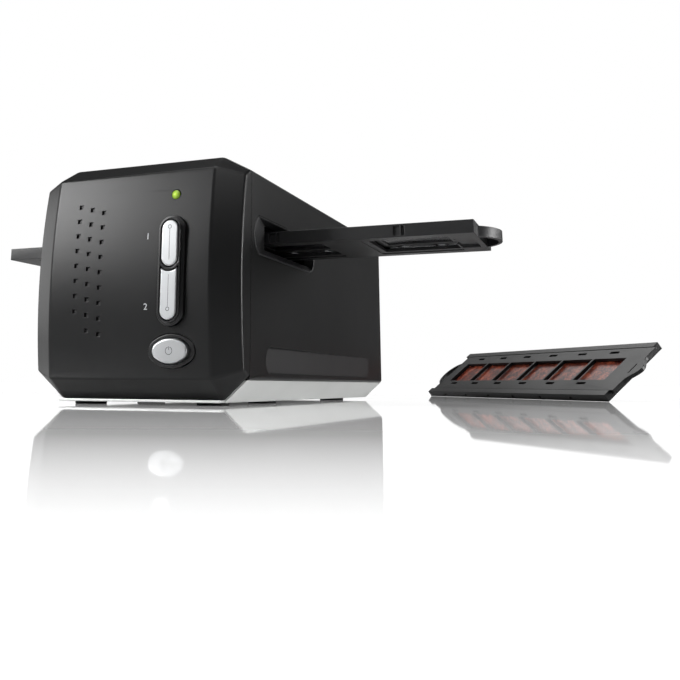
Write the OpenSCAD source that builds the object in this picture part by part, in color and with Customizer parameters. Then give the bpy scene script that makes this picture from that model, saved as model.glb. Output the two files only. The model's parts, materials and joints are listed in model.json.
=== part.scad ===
// Desktop film negative scanner with its slide holder pushed through the film slot
// and its film strip holder beside it.
// The body stands with its front towards -Y and +Z up. The origin is on the desk,
// under the middle of the body.

/* [Body] */
// Width of the body
body_w = 116; // [110:1:124]
// Depth of the body, front to rear
body_d = 264; // [256:1:290]
// Height of the body above the desk
body_h = 122; // [118:0.5:130]
// Thickness of the black shells
wall = 3; // [2.6:0.1:3.4]
// Width of the sloped top edges
top_slope_w = 14.7; // [10:0.1:18]
// Height of the sloped top edges
top_slope_h = 8; // [5:0.1:9]
// Width of the sloped bottom edges
bottom_slope_w = 12.7; // [9:0.1:14]
// Height of the sloped bottom edges
bottom_slope_h = 11.6; // [9:0.1:14]

/* [Base tray] */
// Height of the rubber feet
foot_h = 1.5; // [1:0.1:3]
// Radius of the rubber feet
foot_r = 8; // [5:0.5:10]
// Distance of the feet from the centre line
foot_x = 35; // [28:0.5:36]
// Height of the silver tray
tray_h = 10.5; // [8:0.1:11]
// Thickness of the tray's walls and floor
tray_wall = 2.5; // [2:0.1:3]
// Thickness of the silver rim under the front
rim_t = 1.2; // [0.8:0.1:1.6]

/* [Front] */
// Depth of the front bezel, from its foremost line to the seam
bezel_d = 18.2; // [17:0.1:22]
// How far the front face curves back at its top and bottom
crown = 3.9; // [2:0.1:5]
// Width of the front face between its creases
face_w = 89.6; // [84:0.2:92]
// Height of the front face's lower crease above the body's underside
face_low = 10.9; // [8:0.1:13]
// Distance of the front face's upper crease below the top
face_high = 8.3; // [7:0.1:12]
// Distance of the vertical side crease behind the foremost line
cheek_y = 7.4; // [6:0.1:9]
// Distance of the buttons' common line from the middle
button_x = 24.7; // [20:0.1:26]
// Radius of the scan buttons' ends
button_r = 4.3; // [3.8:0.1:4.6]
// Distance of the upper scan button's upper end centre below the top
button_drop = 39.1; // [38:0.1:44]
// Length of the upper scan button between its end centres
button_l = 13.6; // [10:0.1:16]
// Height of the lower scan button's bottom centre
button_low_z = 43.9; // [42:0.1:48]
// Gap between a button and its opening
button_gap = 0.5; // [0.3:0.05:0.7]
// Travel of the buttons
button_travel = 1; // [0.5:0.1:1.4]
// How far the button surround stands out of the face
surround_out = 3; // [2:0.1:4]
// Height of the power button's centre
power_z = 25.3; // [24:0.1:27]
// Half width of the power button
power_a = 9.3; // [8.5:0.1:10]
// Half height of the power button
power_b = 5.9; // [5.4:0.1:6.3]
// Distance of the status light below the top
led_drop = 21.2; // [19:0.1:24]
// Radius of the status light
led_r = 2.2; // [1.5:0.1:3]
// Side of the square dimples
dimple = 2.2; // [1.5:0.1:3]
// Distance between dimples in a column
dimple_pitch = 7.6; // [6:0.1:8]
// Distance between the dimple columns
dimple_column = 7; // [5:0.1:8]

/* [Film slot] */
// Distance of the slot's middle behind the front
slot_back = 78; // [74:0.5:84]
// Distance of the slot's middle below the top
slot_drop = 37.3; // [33:0.1:39]
// Free space round a holder in the slot's mouth
slot_play = 3.3; // [2:0.1:4]
// Length of the finger scoop in front of the mouth
scoop_l = 22.4; // [18:0.1:28]
// Depth of the scoop below the side of the body
scoop_deep = 4; // [3:0.1:5]
// Height of the scoop's lip below the mouth
scoop_low = 4.8; // [4:0.1:8]
// Length of a dust flap from its pin to its edge
flap_l = 15.5; // [14.5:0.1:16]

/* [Slide holder] */
// Width of a holder
holder_w = 60; // [57:0.5:61]
// Thickness of the slide holder
holder_t = 6.6; // [6:0.1:7]
// Length of the slide holder without its finger loop
holder_l = 271; // [266:1:282]
// Distance from one slide to the next
slide_pitch = 66; // [63:0.5:67]
// Side of a slide pocket
slide_side = 50.8; // [50.4:0.1:52]
// Length of a slide window
window_l = 41; // [36:0.5:44]
// Width of a slide window
window_w = 38; // [34:0.5:42]
// Length of the left end block
end_l = 18; // [16:0.5:22]
// Place of the second slide along the scanner's width, from the lens axis
slide_rest = -6; // [-8:0.5:-4]
// How far the finger loop stands out
loop_out = 9.5; // [8:0.5:13]

/* [Strip holder] */
// Length of the strip holder without its finger loop
strip_l = 262; // [256:1:270]
// Width of the strip holder
strip_w = 60; // [58:0.5:62]
// Thickness of the strip holder
strip_t = 5.6; // [5.5:0.1:7]
// Distance from one negative to the next
frame_pitch = 38; // [37.5:0.1:38.5]
// Length of a negative
frame_l = 36; // [35:0.1:36.5]
// Width of a negative
frame_w = 24; // [22:0.1:25]
// Width of the film
film_w = 35; // [34.6:0.1:35.2]
// Turn of the strip holder on the desk, seen from above
strip_turn = -51.8; // [-60:0.1:-40]
// Tilt of the strip holder about its lower long edge
strip_tilt = 37.6; // [20:0.1:45]

/* [Scanning unit] */
// Radius of the guide rods
rod_r = 3; // [2.5:0.1:3.2]
// Distance of the guide rods from the middle
rod_x = 34; // [33:0.5:35]
// Distance of the guide rods below the middle of the film slot
rod_drop = 54.7; // [52:0.1:57]
// Radius of the lead screw
screw_r = 2; // [1.5:0.1:2.4]
// Travel of the carriage each way from the middle
scan_travel = 15; // [12:1:16]
// Running clearance of a shaft in its bore
fit = 0.05; // [0.02:0.01:0.08]

/* [Hidden] */

$fn = 48;
eps = 0.01;

// Colours
black = "#1c1d1f";
gloss = "#0e0f10";
silver = "#c9cbce";
steel = "#9aa0a6";
brass = "#b99a4e";
board_green = "#1f5b3a";
orange_film = "#8a4a2c";

// Main planes of the body
front_y = -body_d / 2;
rear_y = body_d / 2;
seam_y = front_y + bezel_d;
rear_panel_t = 3;
cover_end_y = rear_y - rear_panel_t;
tray_z = foot_h;
rim_reach = 5;
floor_z = tray_z + tray_wall;
split_z = tray_z + tray_h;
inner_w = body_w - 2 * wall;
face_z0 = tray_z + face_low;
face_z1 = body_h - face_high;
face_mid_z = (face_z0 + face_z1) / 2;
led_z = body_h - led_drop;

// Film slot and the holders' channel
slot_y = front_y + slot_back;
slot_z = body_h - slot_drop;
mouth_l = holder_w + 2 * slot_play;
mouth_h = holder_t + 2 * slot_play;
mouth_z0 = slot_z - mouth_h / 2;
mouth_z1 = slot_z + mouth_h / 2;
holder_z0 = slot_z - holder_t / 2;
holder_z1 = slot_z + holder_t / 2;
bezel_in_x = body_w / 2 - 2 * wall;
insert_play = 0.1;
channel_play = 0.3;
pin_x = bezel_in_x - 2.5;

// Scanning unit
rod_z = slot_z - rod_drop;
block_t = 6;
block_reach = 99.5;
block_rear_y = slot_y + block_reach;
gate_w = holder_w + 2 * channel_play;
rail_t = 4;
gate_t = 4;
flap_gap = 2;
gate_x = pin_x - flap_l - flap_gap;
gate_z1 = holder_z0 - channel_play;
lamp_z0 = holder_z1 + channel_play;
leg_side = 3;
leg_in = 2.6;
leg_x = body_w / 2 - bottom_slope_w - leg_in;
light_l = 44;
light_w = 40;
lamp_h = 14.7;
lamp_wall = 2;

// Carriage
deck_z = rod_z + 6;
deck_t = 3;
deck_half = rod_x - 4;
mirror_gap = 8.1;
wedge_h = gate_z1 - gate_t - deck_z - deck_t - mirror_gap;
wedge_front_y = slot_y - wedge_h / 2 - 1.4;
deck_lead = 4;
block_gap = 3.1;
block_front_y = wedge_front_y - deck_lead - scan_travel - block_gap - block_t;
bush_r = rod_r + 1.5;
bush_l = 14;
bush_front_y = slot_y - 6.5;
bush_reach = 73.5;
bush_rear_y = slot_y + bush_reach;
screw_z = rod_z - 6;
nut_reach = 33.5;
nut_y = slot_y + nut_reach;
nut_r = screw_r + 3;
axis_z = deck_z + deck_t + wedge_h / 2 + 1;

// Boards
board_t = 1.6;
main_z = floor_z + 8;
main_half = 33;
motor_l = 15;
motor_gap = 5;
main_y0 = block_rear_y + block_t + motor_l + motor_gap;
main_y1 = cover_end_y - 3;
key_board_y = front_y + 14.4;

// Screws that join the cover to the tray
lug_x = 40;
lug_ys = [seam_y + 10, cover_end_y - 34];
screw_head_r = 2.8;
screw_shank_r = 1.45;

// Strip holder
strip_x = 50;
strip_away = 218.5;
strip_at = [strip_x, rear_y + strip_away, 0];
strip_loop_half = 15;
strip_floor = 2.2;
strip_rail = 5.5;
strip_frame_a = 19.4;
strip_tail = 7;
frames = floor((strip_l - strip_frame_a - strip_tail) / frame_pitch);
strip_window_l = frames * frame_pitch - (frame_pitch - frame_l);
cover_play = 0.3;
cover_over = 3;
cover_c0 = strip_floor + 0.6;
cover_c1 = strip_t - 0.2;
pin_a = 6;
pin_c = (cover_c0 + cover_c1) / 2;
pin_r = 0.8;

// ---------------------------------------------------------------- helpers

// A box between two corners
module box(a, b) {
    translate(a)
        cube(b - a);
}

// A drawing in X and Z, carried along Y from y0 to y1
module along_y(y0, y1) {
    translate([0, y1, 0])
        rotate([90, 0, 0])
            linear_extrude(y1 - y0)
                children();
}

// A drawing in Y and Z, carried along X from x0 to x1
module along_x(x0, x1) {
    translate([x0, 0, 0])
        rotate([90, 0, 90])
            linear_extrude(x1 - x0)
                children();
}

// A cylinder along Y from y0 to y1 at x and z
module rod_y(r, x, z, y0, y1) {
    along_y(y0, y1)
        translate([x, z])
            circle(r);
}

// Both sides: the shape as drawn on the right, and mirrored to the left
module side_of(side) {
    mirror([side < 0 ? 1 : 0, 0, 0])
        children();
}

// A slot shape with round ends, upright between two end centres
module upright_slot(r, z0, z1) {
    translate([0, z0])
        circle(r);
    translate([0, z1])
        circle(r);
    translate([-r, z0])
        square([2 * r, z1 - z0]);
}

// An oval of four arcs, a and b its half axes
module oval(a, b) {
    end_r = 0.71 * b;
    end_x = a - end_r;
    flat_r = (end_x * end_x + b * b - end_r * end_r) / (2 * (b - end_r));
    drop = flat_r - b;
    touch_x = flat_r * end_x / (flat_r - end_r);
    intersection() {
        translate([0, -drop])
            circle(flat_r, $fn = 96);
        translate([0, drop])
            circle(flat_r, $fn = 96);
        square([2 * touch_x, 2 * b + 1], center = true);
    }
    for (s = [-1, 1])
        translate([s * end_x, 0])
            circle(end_r);
}

// The body's outline in X and Z, drawn t inside its outer faces, from height z0 up
function outline(t, z0) =
    let (
        half = body_w / 2,
        top_run = norm([top_slope_w, top_slope_h]),
        low_run = norm([bottom_slope_w, bottom_slope_h]),
        x_top = half - top_slope_w - t * (top_run - top_slope_w) / top_slope_h,
        z_top = body_h - top_slope_h - t * (top_run - top_slope_h) / top_slope_w,
        x_low = half - bottom_slope_w - t * (low_run - bottom_slope_w) / bottom_slope_h,
        z_low = z0 + bottom_slope_h + t * (low_run - bottom_slope_h) / bottom_slope_w,
        right = [
            [x_low, z0 + t], [half - t, z_low],
            [half - t, z_top], [x_top, body_h - t]
        ]
    )
    concat(right, [for (i = [3:-1:0]) [-right[i].x, right[i].y]]);

// Height band of a drawing
module band(z0, z1) {
    translate([-body_w, z0])
        square([2 * body_w, z1 - z0]);
}

// A line that curves back by sag from its middle, in Y and Z, closed at y_end
function bowed(y, sag, z0, z1, y_end, steps = 10) =
    let (
        half = (z1 - z0) / 2,
        mid = (z0 + z1) / 2,
        radius = (half * half + sag * sag) / (2 * sag)
    )
    concat(
        [for (i = [0:steps])
            let (z = z0 + (z1 - z0) * i / steps)
            [y + radius - sqrt(radius * radius - (z - mid) * (z - mid)), z]],
        [[y_end, z1], [y_end, z0]]
    );

// How far behind the foremost line the front face lies at height z
function face_sag(z) =
    let (
        half = (face_z1 - face_z0) / 2,
        radius = (half * half + crown * crown) / (2 * crown)
    )
    radius - sqrt(radius * radius - (z - face_mid_z) * (z - face_mid_z));

// ---------------------------------------------------------------- housing

module base_tray() {
    color(silver) {
        difference() {
            along_y(seam_y, rear_y)
                intersection() {
                    polygon(outline(0, tray_z));
                    band(tray_z, split_z);
                }
            along_y(seam_y + tray_wall, rear_y - tray_wall)
                intersection() {
                    polygon(outline(tray_wall, tray_z));
                    band(floor_z, split_z + 1);
                }
            for (s = [-1, 1], y = lug_ys)
                translate([s * lug_x, y, tray_z - 1])
                    cylinder(r = screw_head_r + 0.3, h = 3.2);
            for (s = [-1, 1], y = lug_ys)
                translate([s * lug_x, y, tray_z])
                    cylinder(r = screw_shank_r + 0.15, h = tray_h);
        }
        tray_rim();
        tray_posts();
    }
}

// Thin rim of the tray that shows under the bezel
module tray_rim() {
    half = body_w / 2 - bottom_slope_w;
    box([-half, seam_y - rim_reach, tray_z], [half, seam_y + tray_wall, tray_z + rim_t]);
}

// Posts round the screws that hold the cover
module tray_posts() {
    for (s = [-1, 1], y = lug_ys)
        translate([s * lug_x, y, 0])
            difference() {
                translate([0, 0, tray_z + 2.2])
                    cylinder(r = screw_head_r + 1.7, h = split_z - tray_z - 2.2);
                translate([0, 0, tray_z])
                    cylinder(r = screw_shank_r + 0.15, h = tray_h + 1);
            }
}

module top_cover() {
    color(black)
        difference() {
            union() {
                along_y(seam_y, cover_end_y)
                    intersection() {
                        difference() {
                            polygon(outline(0, tray_z));
                            polygon(outline(wall, tray_z));
                        }
                        band(split_z, body_h);
                    }
                for (s = [-1, 1], y = lug_ys)
                    side_of(s)
                        cover_lug(y);
            }
            for (s = [-1, 1])
                side_of(s) {
                    along_x(body_w / 2 - wall - eps, body_w / 2 + 1)
                        scoop_outline(insert_play);
                    grip_recess();
                }
        }
}

// Lug inside the cover that takes a screw from the tray
module cover_lug(y) {
    difference() {
        box([lug_x - 5, y - 5, split_z], [body_w / 2 - wall + eps, y + 5, split_z + 8.6]);
        translate([lug_x, y, split_z - 1])
            cylinder(r = screw_shank_r + fit, h = 8);
    }
}

// Long shallow grip in the side, which runs out towards the rear
module grip_recess() {
    grip_r = 6.5;
    grip_z = split_z + 3.3 + grip_r;
    grip_inset = 38;
    grip_tail = 30;
    grip_y0 = front_y + grip_inset;
    grip_l = body_d - grip_inset - grip_tail;
    grip_deep = 1.8;
    translate([body_w / 2, grip_y0, grip_z])
        rotate([0, 0, -atan(grip_deep / grip_l)])
            translate([-grip_deep, 0, 0])
                rotate([90, 0, 90])
                    linear_extrude(grip_deep + 3) {
                        translate([grip_r, 0])
                            circle(grip_r);
                        translate([grip_r, -grip_r])
                            square([grip_l, 2 * grip_r]);
                    }
}

// The solid shape of the bezel, drawn t inside its outer faces
module bezel_form(t) {
    z0 = tray_z + rim_t;
    lip_y = seam_y - 1.4;
    hull() {
        along_x(-face_w / 2 + t / 2, face_w / 2 - t / 2)
            polygon(bowed(front_y + t, crown, face_z0 + t / 2, face_z1 - t / 2, lip_y));
        along_x(-body_w / 2 + t, body_w / 2 - t)
            polygon(bowed(front_y + cheek_y + t / 2, crown, face_z0 + crown, face_z1 - crown + 0.8, lip_y));
        along_y(lip_y, seam_y + (t > 0 ? 1 : 0))
            polygon(outline(t, z0));
    }
}

module front_bezel() {
    color(black)
        difference() {
            union() {
                difference() {
                    bezel_form(0);
                    bezel_form(wall);
                }
                bezel_posts();
            }
            // Pocket and opening of the button surround
            translate([button_x, 0, 0]) {
                along_y(front_y - 1, surround_back_y)
                    upright_slot(surround_r + insert_play, surround_z0, surround_z1);
                along_y(surround_back_y - eps, seam_y)
                    upright_slot(surround_neck_r + insert_play, surround_z0, surround_z1);
            }
            // Pocket and opening of the power button
            translate([button_x, 0, power_z]) {
                along_y(front_y - 1, ring_back_y)
                    oval(ring_a + insert_play, ring_b + insert_play);
                along_y(ring_back_y - eps, seam_y)
                    oval(power_a + button_gap, power_b + button_gap);
            }
            rod_y(led_r + fit, button_x, led_z, front_y - 1, seam_y);
            dimples();
        }
}

// Posts that carry the button board
post_r = 2.5;
post_places = [
    [button_x - 13, face_z1 - 14],
    [button_x + 13, power_z + 22],
    [button_x - 13, face_z0 + 24]
];
module bezel_posts() {
    for (p = post_places)
        rod_y(post_r, p.x, p.y, front_y + face_sag(p.y) + wall - 0.3, key_board_y);
}

// Three columns of square dimples, each lower than the one before
module dimples() {
    counts = [8, 9, 9];
    deep = 0.8;
    for (c = [0:2], i = [0:counts[c] - 1]) {
        x = -30 + c * dimple_column;
        z = face_z1 - 15.4 - c * dimple_pitch / 4 - i * dimple_pitch;
        y = front_y + face_sag(z) + deep;
        box([x - dimple / 2, front_y - 1, z - dimple / 2], [x + dimple / 2, y, z + dimple / 2]);
    }
}

module rear_panel() {
    color(black)
        difference() {
            along_y(cover_end_y, rear_y)
                intersection() {
                    polygon(outline(0.4, tray_z));
                    band(split_z, body_h);
                }
            along_y(cover_end_y - 1, rear_y + 1) {
                translate([usb_x - usb_w / 2 - 0.2, main_z + board_t - 0.2])
                    square([usb_w + 0.4, usb_h + 0.4]);
                translate([dc_x - dc_w / 2 - 0.2, main_z + board_t - 0.2])
                    square([dc_w + 0.4, dc_h + 0.4]);
            }
        }
}

module foot(side, y) {
    color(gloss)
        translate([side * foot_x, y, 0])
            cylinder(r = foot_r, h = foot_h);
}
foot_inset = 27;
foot_apart = 62;
foot_back = 50;
foot_front_y = front_y + foot_inset;
foot_middle_y = foot_front_y + foot_apart;
foot_rear_y = rear_y - foot_back;

module case_screws() {
    color(steel)
        for (s = [-1, 1], y = lug_ys)
            translate([s * lug_x, y, tray_z + 0.4]) {
                cylinder(r = screw_head_r, h = 1.8);
                cylinder(r = screw_shank_r, h = tray_h + 4);
            }
}

// ---------------------------------------------------------------- film slot

scoop_r = 11;
scoop_z1 = mouth_z1 + 1.6;
scoop_z0 = mouth_z0 - scoop_low;
scoop_y0 = slot_y - mouth_l / 2 - scoop_l;
scoop_y1 = slot_y + mouth_l / 2 + 1;
scoop_corner = 9;

// D-shaped outline of the slot's insert, in Y and Z, grown by g
module scoop_outline(g) {
    mid_z = (scoop_z0 + scoop_z1) / 2;
    r = scoop_r + g;
    corner = scoop_corner + g;
    intersection() {
        union() {
            translate([scoop_y0 + scoop_r, mid_z])
                circle(r);
            translate([scoop_y0 + scoop_r, scoop_z0 - g])
                square([scoop_y1 - scoop_corner - scoop_y0 - scoop_r, scoop_z1 - scoop_z0 + 2 * g]);
            translate([scoop_y0 + scoop_r, scoop_z0 + scoop_corner])
                square([scoop_y1 + g - scoop_y0 - scoop_r, scoop_z1 - scoop_z0 - scoop_corner + g]);
            translate([scoop_y1 - scoop_corner, scoop_z0 + scoop_corner])
                circle(corner);
        }
        translate([scoop_y0 - 5, scoop_z0 - g])
            square([scoop_y1 - scoop_y0 + 10, scoop_z1 - scoop_z0 + 2 * g]);
    }
}

// The mouth's rectangle in Y and Z
module mouth() {
    translate([slot_y - mouth_l / 2, mouth_z0])
        square([mouth_l, mouth_h]);
}

pin_z = mouth_z1 + 1.8;
flap_pin_r = 0.8;
flap_t = 1.2;
flap_rest = asin((pin_z - holder_z1 - channel_play - flap_t / 2) / flap_l);
flap_half = holder_w / 2 + 1.5;
ear_t = 2;
ear_gap = 0.3;

// Insert with the finger scoop, the mouth and the ears of the dust flap, drawn on the right
module slot_bezel(side) {
    color(gloss)
        side_of(side)
            difference() {
                union() {
                    along_x(body_w / 2 - wall, body_w / 2)
                        scoop_outline(0);
                    along_x(bezel_in_x, body_w / 2 - wall)
                        scoop_outline(2);
                    for (s = [-1, 1])
                        slot_ear(s);
                }
                hull() {
                    along_x(body_w / 2, body_w / 2 + 0.5)
                        scoop_outline(-0.8);
                    along_x(body_w / 2 - scoop_deep, body_w / 2 - scoop_deep + eps)
                        mouth();
                }
                along_x(bezel_in_x - 1, body_w / 2 - scoop_deep + eps)
                    mouth();
                rod_y(flap_pin_r + fit, pin_x, pin_z, slot_y - mouth_l, slot_y + mouth_l);
            }
}

// Ear behind the insert that holds one end of the flap's pin
module slot_ear(s) {
    y_in = slot_y + s * (flap_half + ear_gap);
    y_out = y_in + s * ear_t;
    box([pin_x - 1.8, min(y_in, y_out), mouth_z1 + 0.1], [bezel_in_x + eps, max(y_in, y_out), pin_z + 1.8]);
}

module flap_pin(side) {
    color(steel)
        side_of(side)
            rod_y(flap_pin_r, pin_x, pin_z,
                slot_y - flap_half - ear_gap - ear_t, slot_y + flap_half + ear_gap + ear_t);
}

// Flap that hangs in front of the mouth, held nearly level by the holder below it
module dust_flap(side) {
    color(black)
        side_of(side)
            translate([pin_x, 0, pin_z])
                rotate([0, -flap_rest, 0])
                    difference() {
                        union() {
                            rod_y(1.5, 0, 0, slot_y - flap_half, slot_y + flap_half);
                            box([-flap_l, slot_y - flap_half, -flap_t / 2],
                                [0, slot_y + flap_half, flap_t / 2]);
                        }
                        rod_y(flap_pin_r + fit, 0, 0, slot_y - mouth_l, slot_y + mouth_l);
                    }
}

// ---------------------------------------------------------------- film gate and lamp

module film_gate() {
    half = gate_w / 2 + rail_t;
    color(black)
        difference() {
            union() {
                box([-leg_x - leg_side / 2, slot_y - half, gate_z1 - gate_t],
                    [leg_x + leg_side / 2, slot_y + half, gate_z1]);
                for (s = [-1, 1]) {
                    y_in = slot_y + s * gate_w / 2;
                    y_out = slot_y + s * half;
                    box([-gate_x, min(y_in, y_out), gate_z1 - eps], [gate_x, max(y_in, y_out), lamp_z0]);
                }
                for (s = [-1, 1], t = [-1, 1])
                    gate_leg(s, t * (half - leg_side / 2));
            }
            box([-light_l / 2, slot_y - light_w / 2, gate_z1 - gate_t - 1],
                [light_l / 2, slot_y + light_w / 2, gate_z1 + 1]);
            // Pocket of the detent spring in the front rail
            box([detent_x - 9, slot_y - half - 1, holder_z0 + 0.5],
                [detent_x + 9, slot_y - gate_w / 2 + 1, holder_z1 + 1]);
        }
}

// Leg that carries the gate on the tray's floor
module gate_leg(s, dy) {
    box([s * leg_x - leg_side / 2, slot_y + dy - leg_side / 2, floor_z],
        [s * leg_x + leg_side / 2, slot_y + dy + leg_side / 2, gate_z1 - gate_t + eps]);
}

notch_off = -2;
detent_x = notch_off;

// Leaf with a round nose that meets the holder's notches
module detent_spring() {
    leaf_t = 0.4;
    nose_r = 1.6;
    leaf_y = slot_y - gate_w / 2 - 2.2;
    nose_y = slot_y - holder_w / 2 - 0.4;
    color(steel) {
        box([detent_x - 8.9, leaf_y - leaf_t, holder_z0 + 0.6],
            [detent_x + 8.9, leaf_y, holder_z1 - 0.6]);
        intersection() {
            translate([detent_x, nose_y - nose_r, holder_z0 + 1.6])
                cylinder(r = nose_r, h = holder_t - 3.2);
            box([detent_x - 3, leaf_y - eps, holder_z0], [detent_x + 3, nose_y + 1, holder_z1]);
        }
    }
}

module lamp_housing() {
    half = gate_w / 2 + rail_t;
    ledge = 2;
    color(black)
        difference() {
            box([-gate_x, slot_y - half, lamp_z0], [gate_x, slot_y + half, lamp_z0 + lamp_h]);
            box([-gate_x + lamp_wall, slot_y - half + lamp_wall, lamp_z0 + ledge],
                [gate_x - lamp_wall, slot_y + half - lamp_wall, lamp_z0 + lamp_h + 1]);
            box([-light_l / 2, slot_y - light_w / 2, lamp_z0 - 1],
                [light_l / 2, slot_y + light_w / 2, lamp_z0 + ledge + 1]);
        }
}

module lamp_diffuser() {
    half = gate_w / 2 + rail_t - lamp_wall - 0.2;
    color("#f2f2ee")
        box([-gate_x + lamp_wall + 0.2, slot_y - half, lamp_z0 + 2],
            [gate_x - lamp_wall - 0.2, slot_y + half, lamp_z0 + 4]);
}

module lamp_board() {
    half = gate_w / 2 + rail_t;
    z = lamp_z0 + lamp_h;
    color(board_green)
        box([-gate_x, slot_y - half, z], [gate_x, slot_y + half, z + board_t]);
    color("#f6f3c8")
        for (i = [-2:2], j = [-1:1])
            translate([i * 10, slot_y + j * 14, z - 1.2])
                cylinder(r = 1.6, h = 1.2 + eps);
}

// Flat cable from the lamp down the right side to the main board
ribbon_w = 10;
ribbon_t = 0.6;
ribbon_x = inner_w / 2 - 3;
ribbon_y = scoop_y1 + 5;
ribbon_z = main_z + 8;
module lamp_ribbon() {
    zt = lamp_z0 + lamp_h + board_t;
    x0 = gate_x - ribbon_w - 2;
    y_end = main_y0 + 4;
    board_x = main_half - 4;
    color("#c9c4b4") {
        box([x0, slot_y + 22, zt], [x0 + ribbon_w, ribbon_y + ribbon_w, zt + ribbon_t]);
        box([x0, ribbon_y, zt], [ribbon_x + ribbon_t, ribbon_y + ribbon_w, zt + ribbon_t]);
        box([ribbon_x, ribbon_y, ribbon_z], [ribbon_x + ribbon_t, ribbon_y + ribbon_w, zt + ribbon_t]);
        box([ribbon_x, ribbon_y, ribbon_z],
            [ribbon_x + ribbon_t, y_end + ribbon_w, ribbon_z + ribbon_w]);
        box([board_x, y_end, ribbon_z], [ribbon_x + ribbon_t, y_end + ribbon_w, ribbon_z + ribbon_t]);
        box([board_x, y_end, main_z + board_t],
            [board_x + ribbon_t, y_end + ribbon_w, ribbon_z + ribbon_t]);
    }
}

// ---------------------------------------------------------------- drive

module guide_rod(side) {
    color(steel)
        rod_y(rod_r, side * rod_x, rod_z, block_front_y, block_rear_y + block_t);
}

// Plate on the tray's floor that holds the rods' ends and the lead screw
module rod_block(y0) {
    half = rod_x + 6;
    color(black)
        difference() {
            box([-half, y0, floor_z], [half, y0 + block_t, deck_z - 1]);
            for (s = [-1, 1])
                rod_y(rod_r + fit, s * rod_x, rod_z, y0 - 1, y0 + block_t + 1);
            rod_y(screw_r + fit, 0, screw_z, y0 - 1, y0 + block_t + 1);
            box([-half + 10, y0 - 1, floor_z - 1], [half - 10, y0 + block_t + 1, (floor_z + screw_z) / 2]);
        }
}

motor_r = 7.5;
module drive_motor() {
    y0 = block_rear_y + block_t;
    color(silver)
        difference() {
            rod_y(motor_r, 0, screw_z, y0, y0 + motor_l);
            rod_y(screw_r + fit, 0, screw_z, y0 - 1, y0 + 6);
        }
}

module lead_screw() {
    color(steel)
        rod_y(screw_r, 0, screw_z, block_front_y + 0.5, block_rear_y + block_t + 5);
}

// ---------------------------------------------------------------- carriage

mirror_t = 2;
mirror_half = 22;
lens_r = 9;
lens_reach = 55;
lens_y0 = slot_y + lens_reach;
lens_l = 24;
sensor_reach = 104;
sensor_y = slot_y + sensor_reach;
sensor_half = 20;
sensor_h = 8;
sensor_rise = 14;
stand_t = 3;

module carriage_frame() {
    deck_top = deck_z + deck_t;
    color(black)
        difference() {
            union() {
                box([-deck_half, wedge_front_y - deck_lead, deck_z],
                    [deck_half, sensor_y + board_t + stand_t, deck_top]);
                for (s = [-1, 1], y = [bush_front_y, bush_rear_y])
                    side_of(s)
                        bush_block(y);
                // Nut holder under the deck
                box([-nut_r - 2, nut_y - 5, screw_z - nut_r - 1], [nut_r + 2, nut_y + 5, deck_z + eps]);
                // Wedge under the mirror
                along_x(-mirror_half - 2, mirror_half + 2)
                    polygon([
                        [wedge_front_y, deck_top - eps],
                        [wedge_front_y + wedge_h, deck_top - eps],
                        [wedge_front_y, deck_top + wedge_h]
                    ]);
                // Cradle under the lens
                box([-lens_r - 1, lens_y0 + 4, deck_top - eps], [lens_r + 1, lens_y0 + lens_l - 4, axis_z]);
                // Stand behind the sensor's board
                box([-mirror_half, sensor_y + board_t, deck_top - eps],
                    [mirror_half, sensor_y + board_t + stand_t, deck_top + 10]);
            }
            for (s = [-1, 1])
                rod_y(bush_r + fit, s * rod_x, rod_z, wedge_front_y - 20, sensor_y + 20);
            rod_y(nut_r + fit, 0, screw_z, nut_y - 20, nut_y + 20);
            rod_y(lens_r + fit, 0, axis_z, lens_y0 - 5, lens_y0 + lens_l + 5);
        }
}

// Block on the right edge of the deck that holds a bush
module bush_block(y) {
    box([deck_half - 1, y - bush_l / 2, rod_z - bush_r - 1],
        [rod_x + bush_r + 1, y + bush_l / 2, deck_z + deck_t]);
}

module rod_bush(side) {
    color(brass)
        for (y = [bush_front_y, bush_rear_y])
            difference() {
                rod_y(bush_r, side * rod_x, rod_z, y - bush_l / 2, y + bush_l / 2);
                rod_y(rod_r + fit, side * rod_x, rod_z, y - bush_l, y + bush_l);
            }
}

module drive_nut() {
    color(brass)
        difference() {
            rod_y(nut_r, 0, screw_z, nut_y - 5, nut_y + 5);
            rod_y(screw_r + fit, 0, screw_z, nut_y - 6, nut_y + 6);
        }
}

// Mirror that turns the light from the film towards the lens
module carriage_mirror() {
    color("#d6dde2")
        translate([0, wedge_front_y + wedge_h, deck_z + deck_t])
            rotate([-45, 0, 0])
                box([-mirror_half, -wedge_h * sqrt(2) + 1, 0], [mirror_half, -1, mirror_t]);
}

module lens_barrel() {
    color(gloss)
        difference() {
            rod_y(lens_r, 0, axis_z, lens_y0, lens_y0 + lens_l);
            rod_y(lens_r - 1.5, 0, axis_z, lens_y0 - 1, lens_y0 + lens_l + 1);
        }
}

module lens_glass() {
    color("#7d8fb3")
        for (y = [lens_y0 + 1, lens_y0 + lens_l - 4])
            rod_y(lens_r - 1.5 - fit, 0, axis_z, y, y + 3);
}

module sensor_board() {
    color(board_green)
        box([-mirror_half - 4, sensor_y, deck_z + deck_t],
            [mirror_half + 4, sensor_y + board_t, axis_z + sensor_rise]);
}

module image_sensor() {
    color(gloss)
        box([-sensor_half, sensor_y - 2, axis_z - sensor_h / 2],
            [sensor_half, sensor_y, axis_z + sensor_h / 2]);
}

// ---------------------------------------------------------------- boards and sockets

usb_x = -14;
usb_w = 12;
usb_h = 11;
dc_x = 15;
dc_w = 9;
dc_h = 11;
socket_l = 13;

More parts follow.
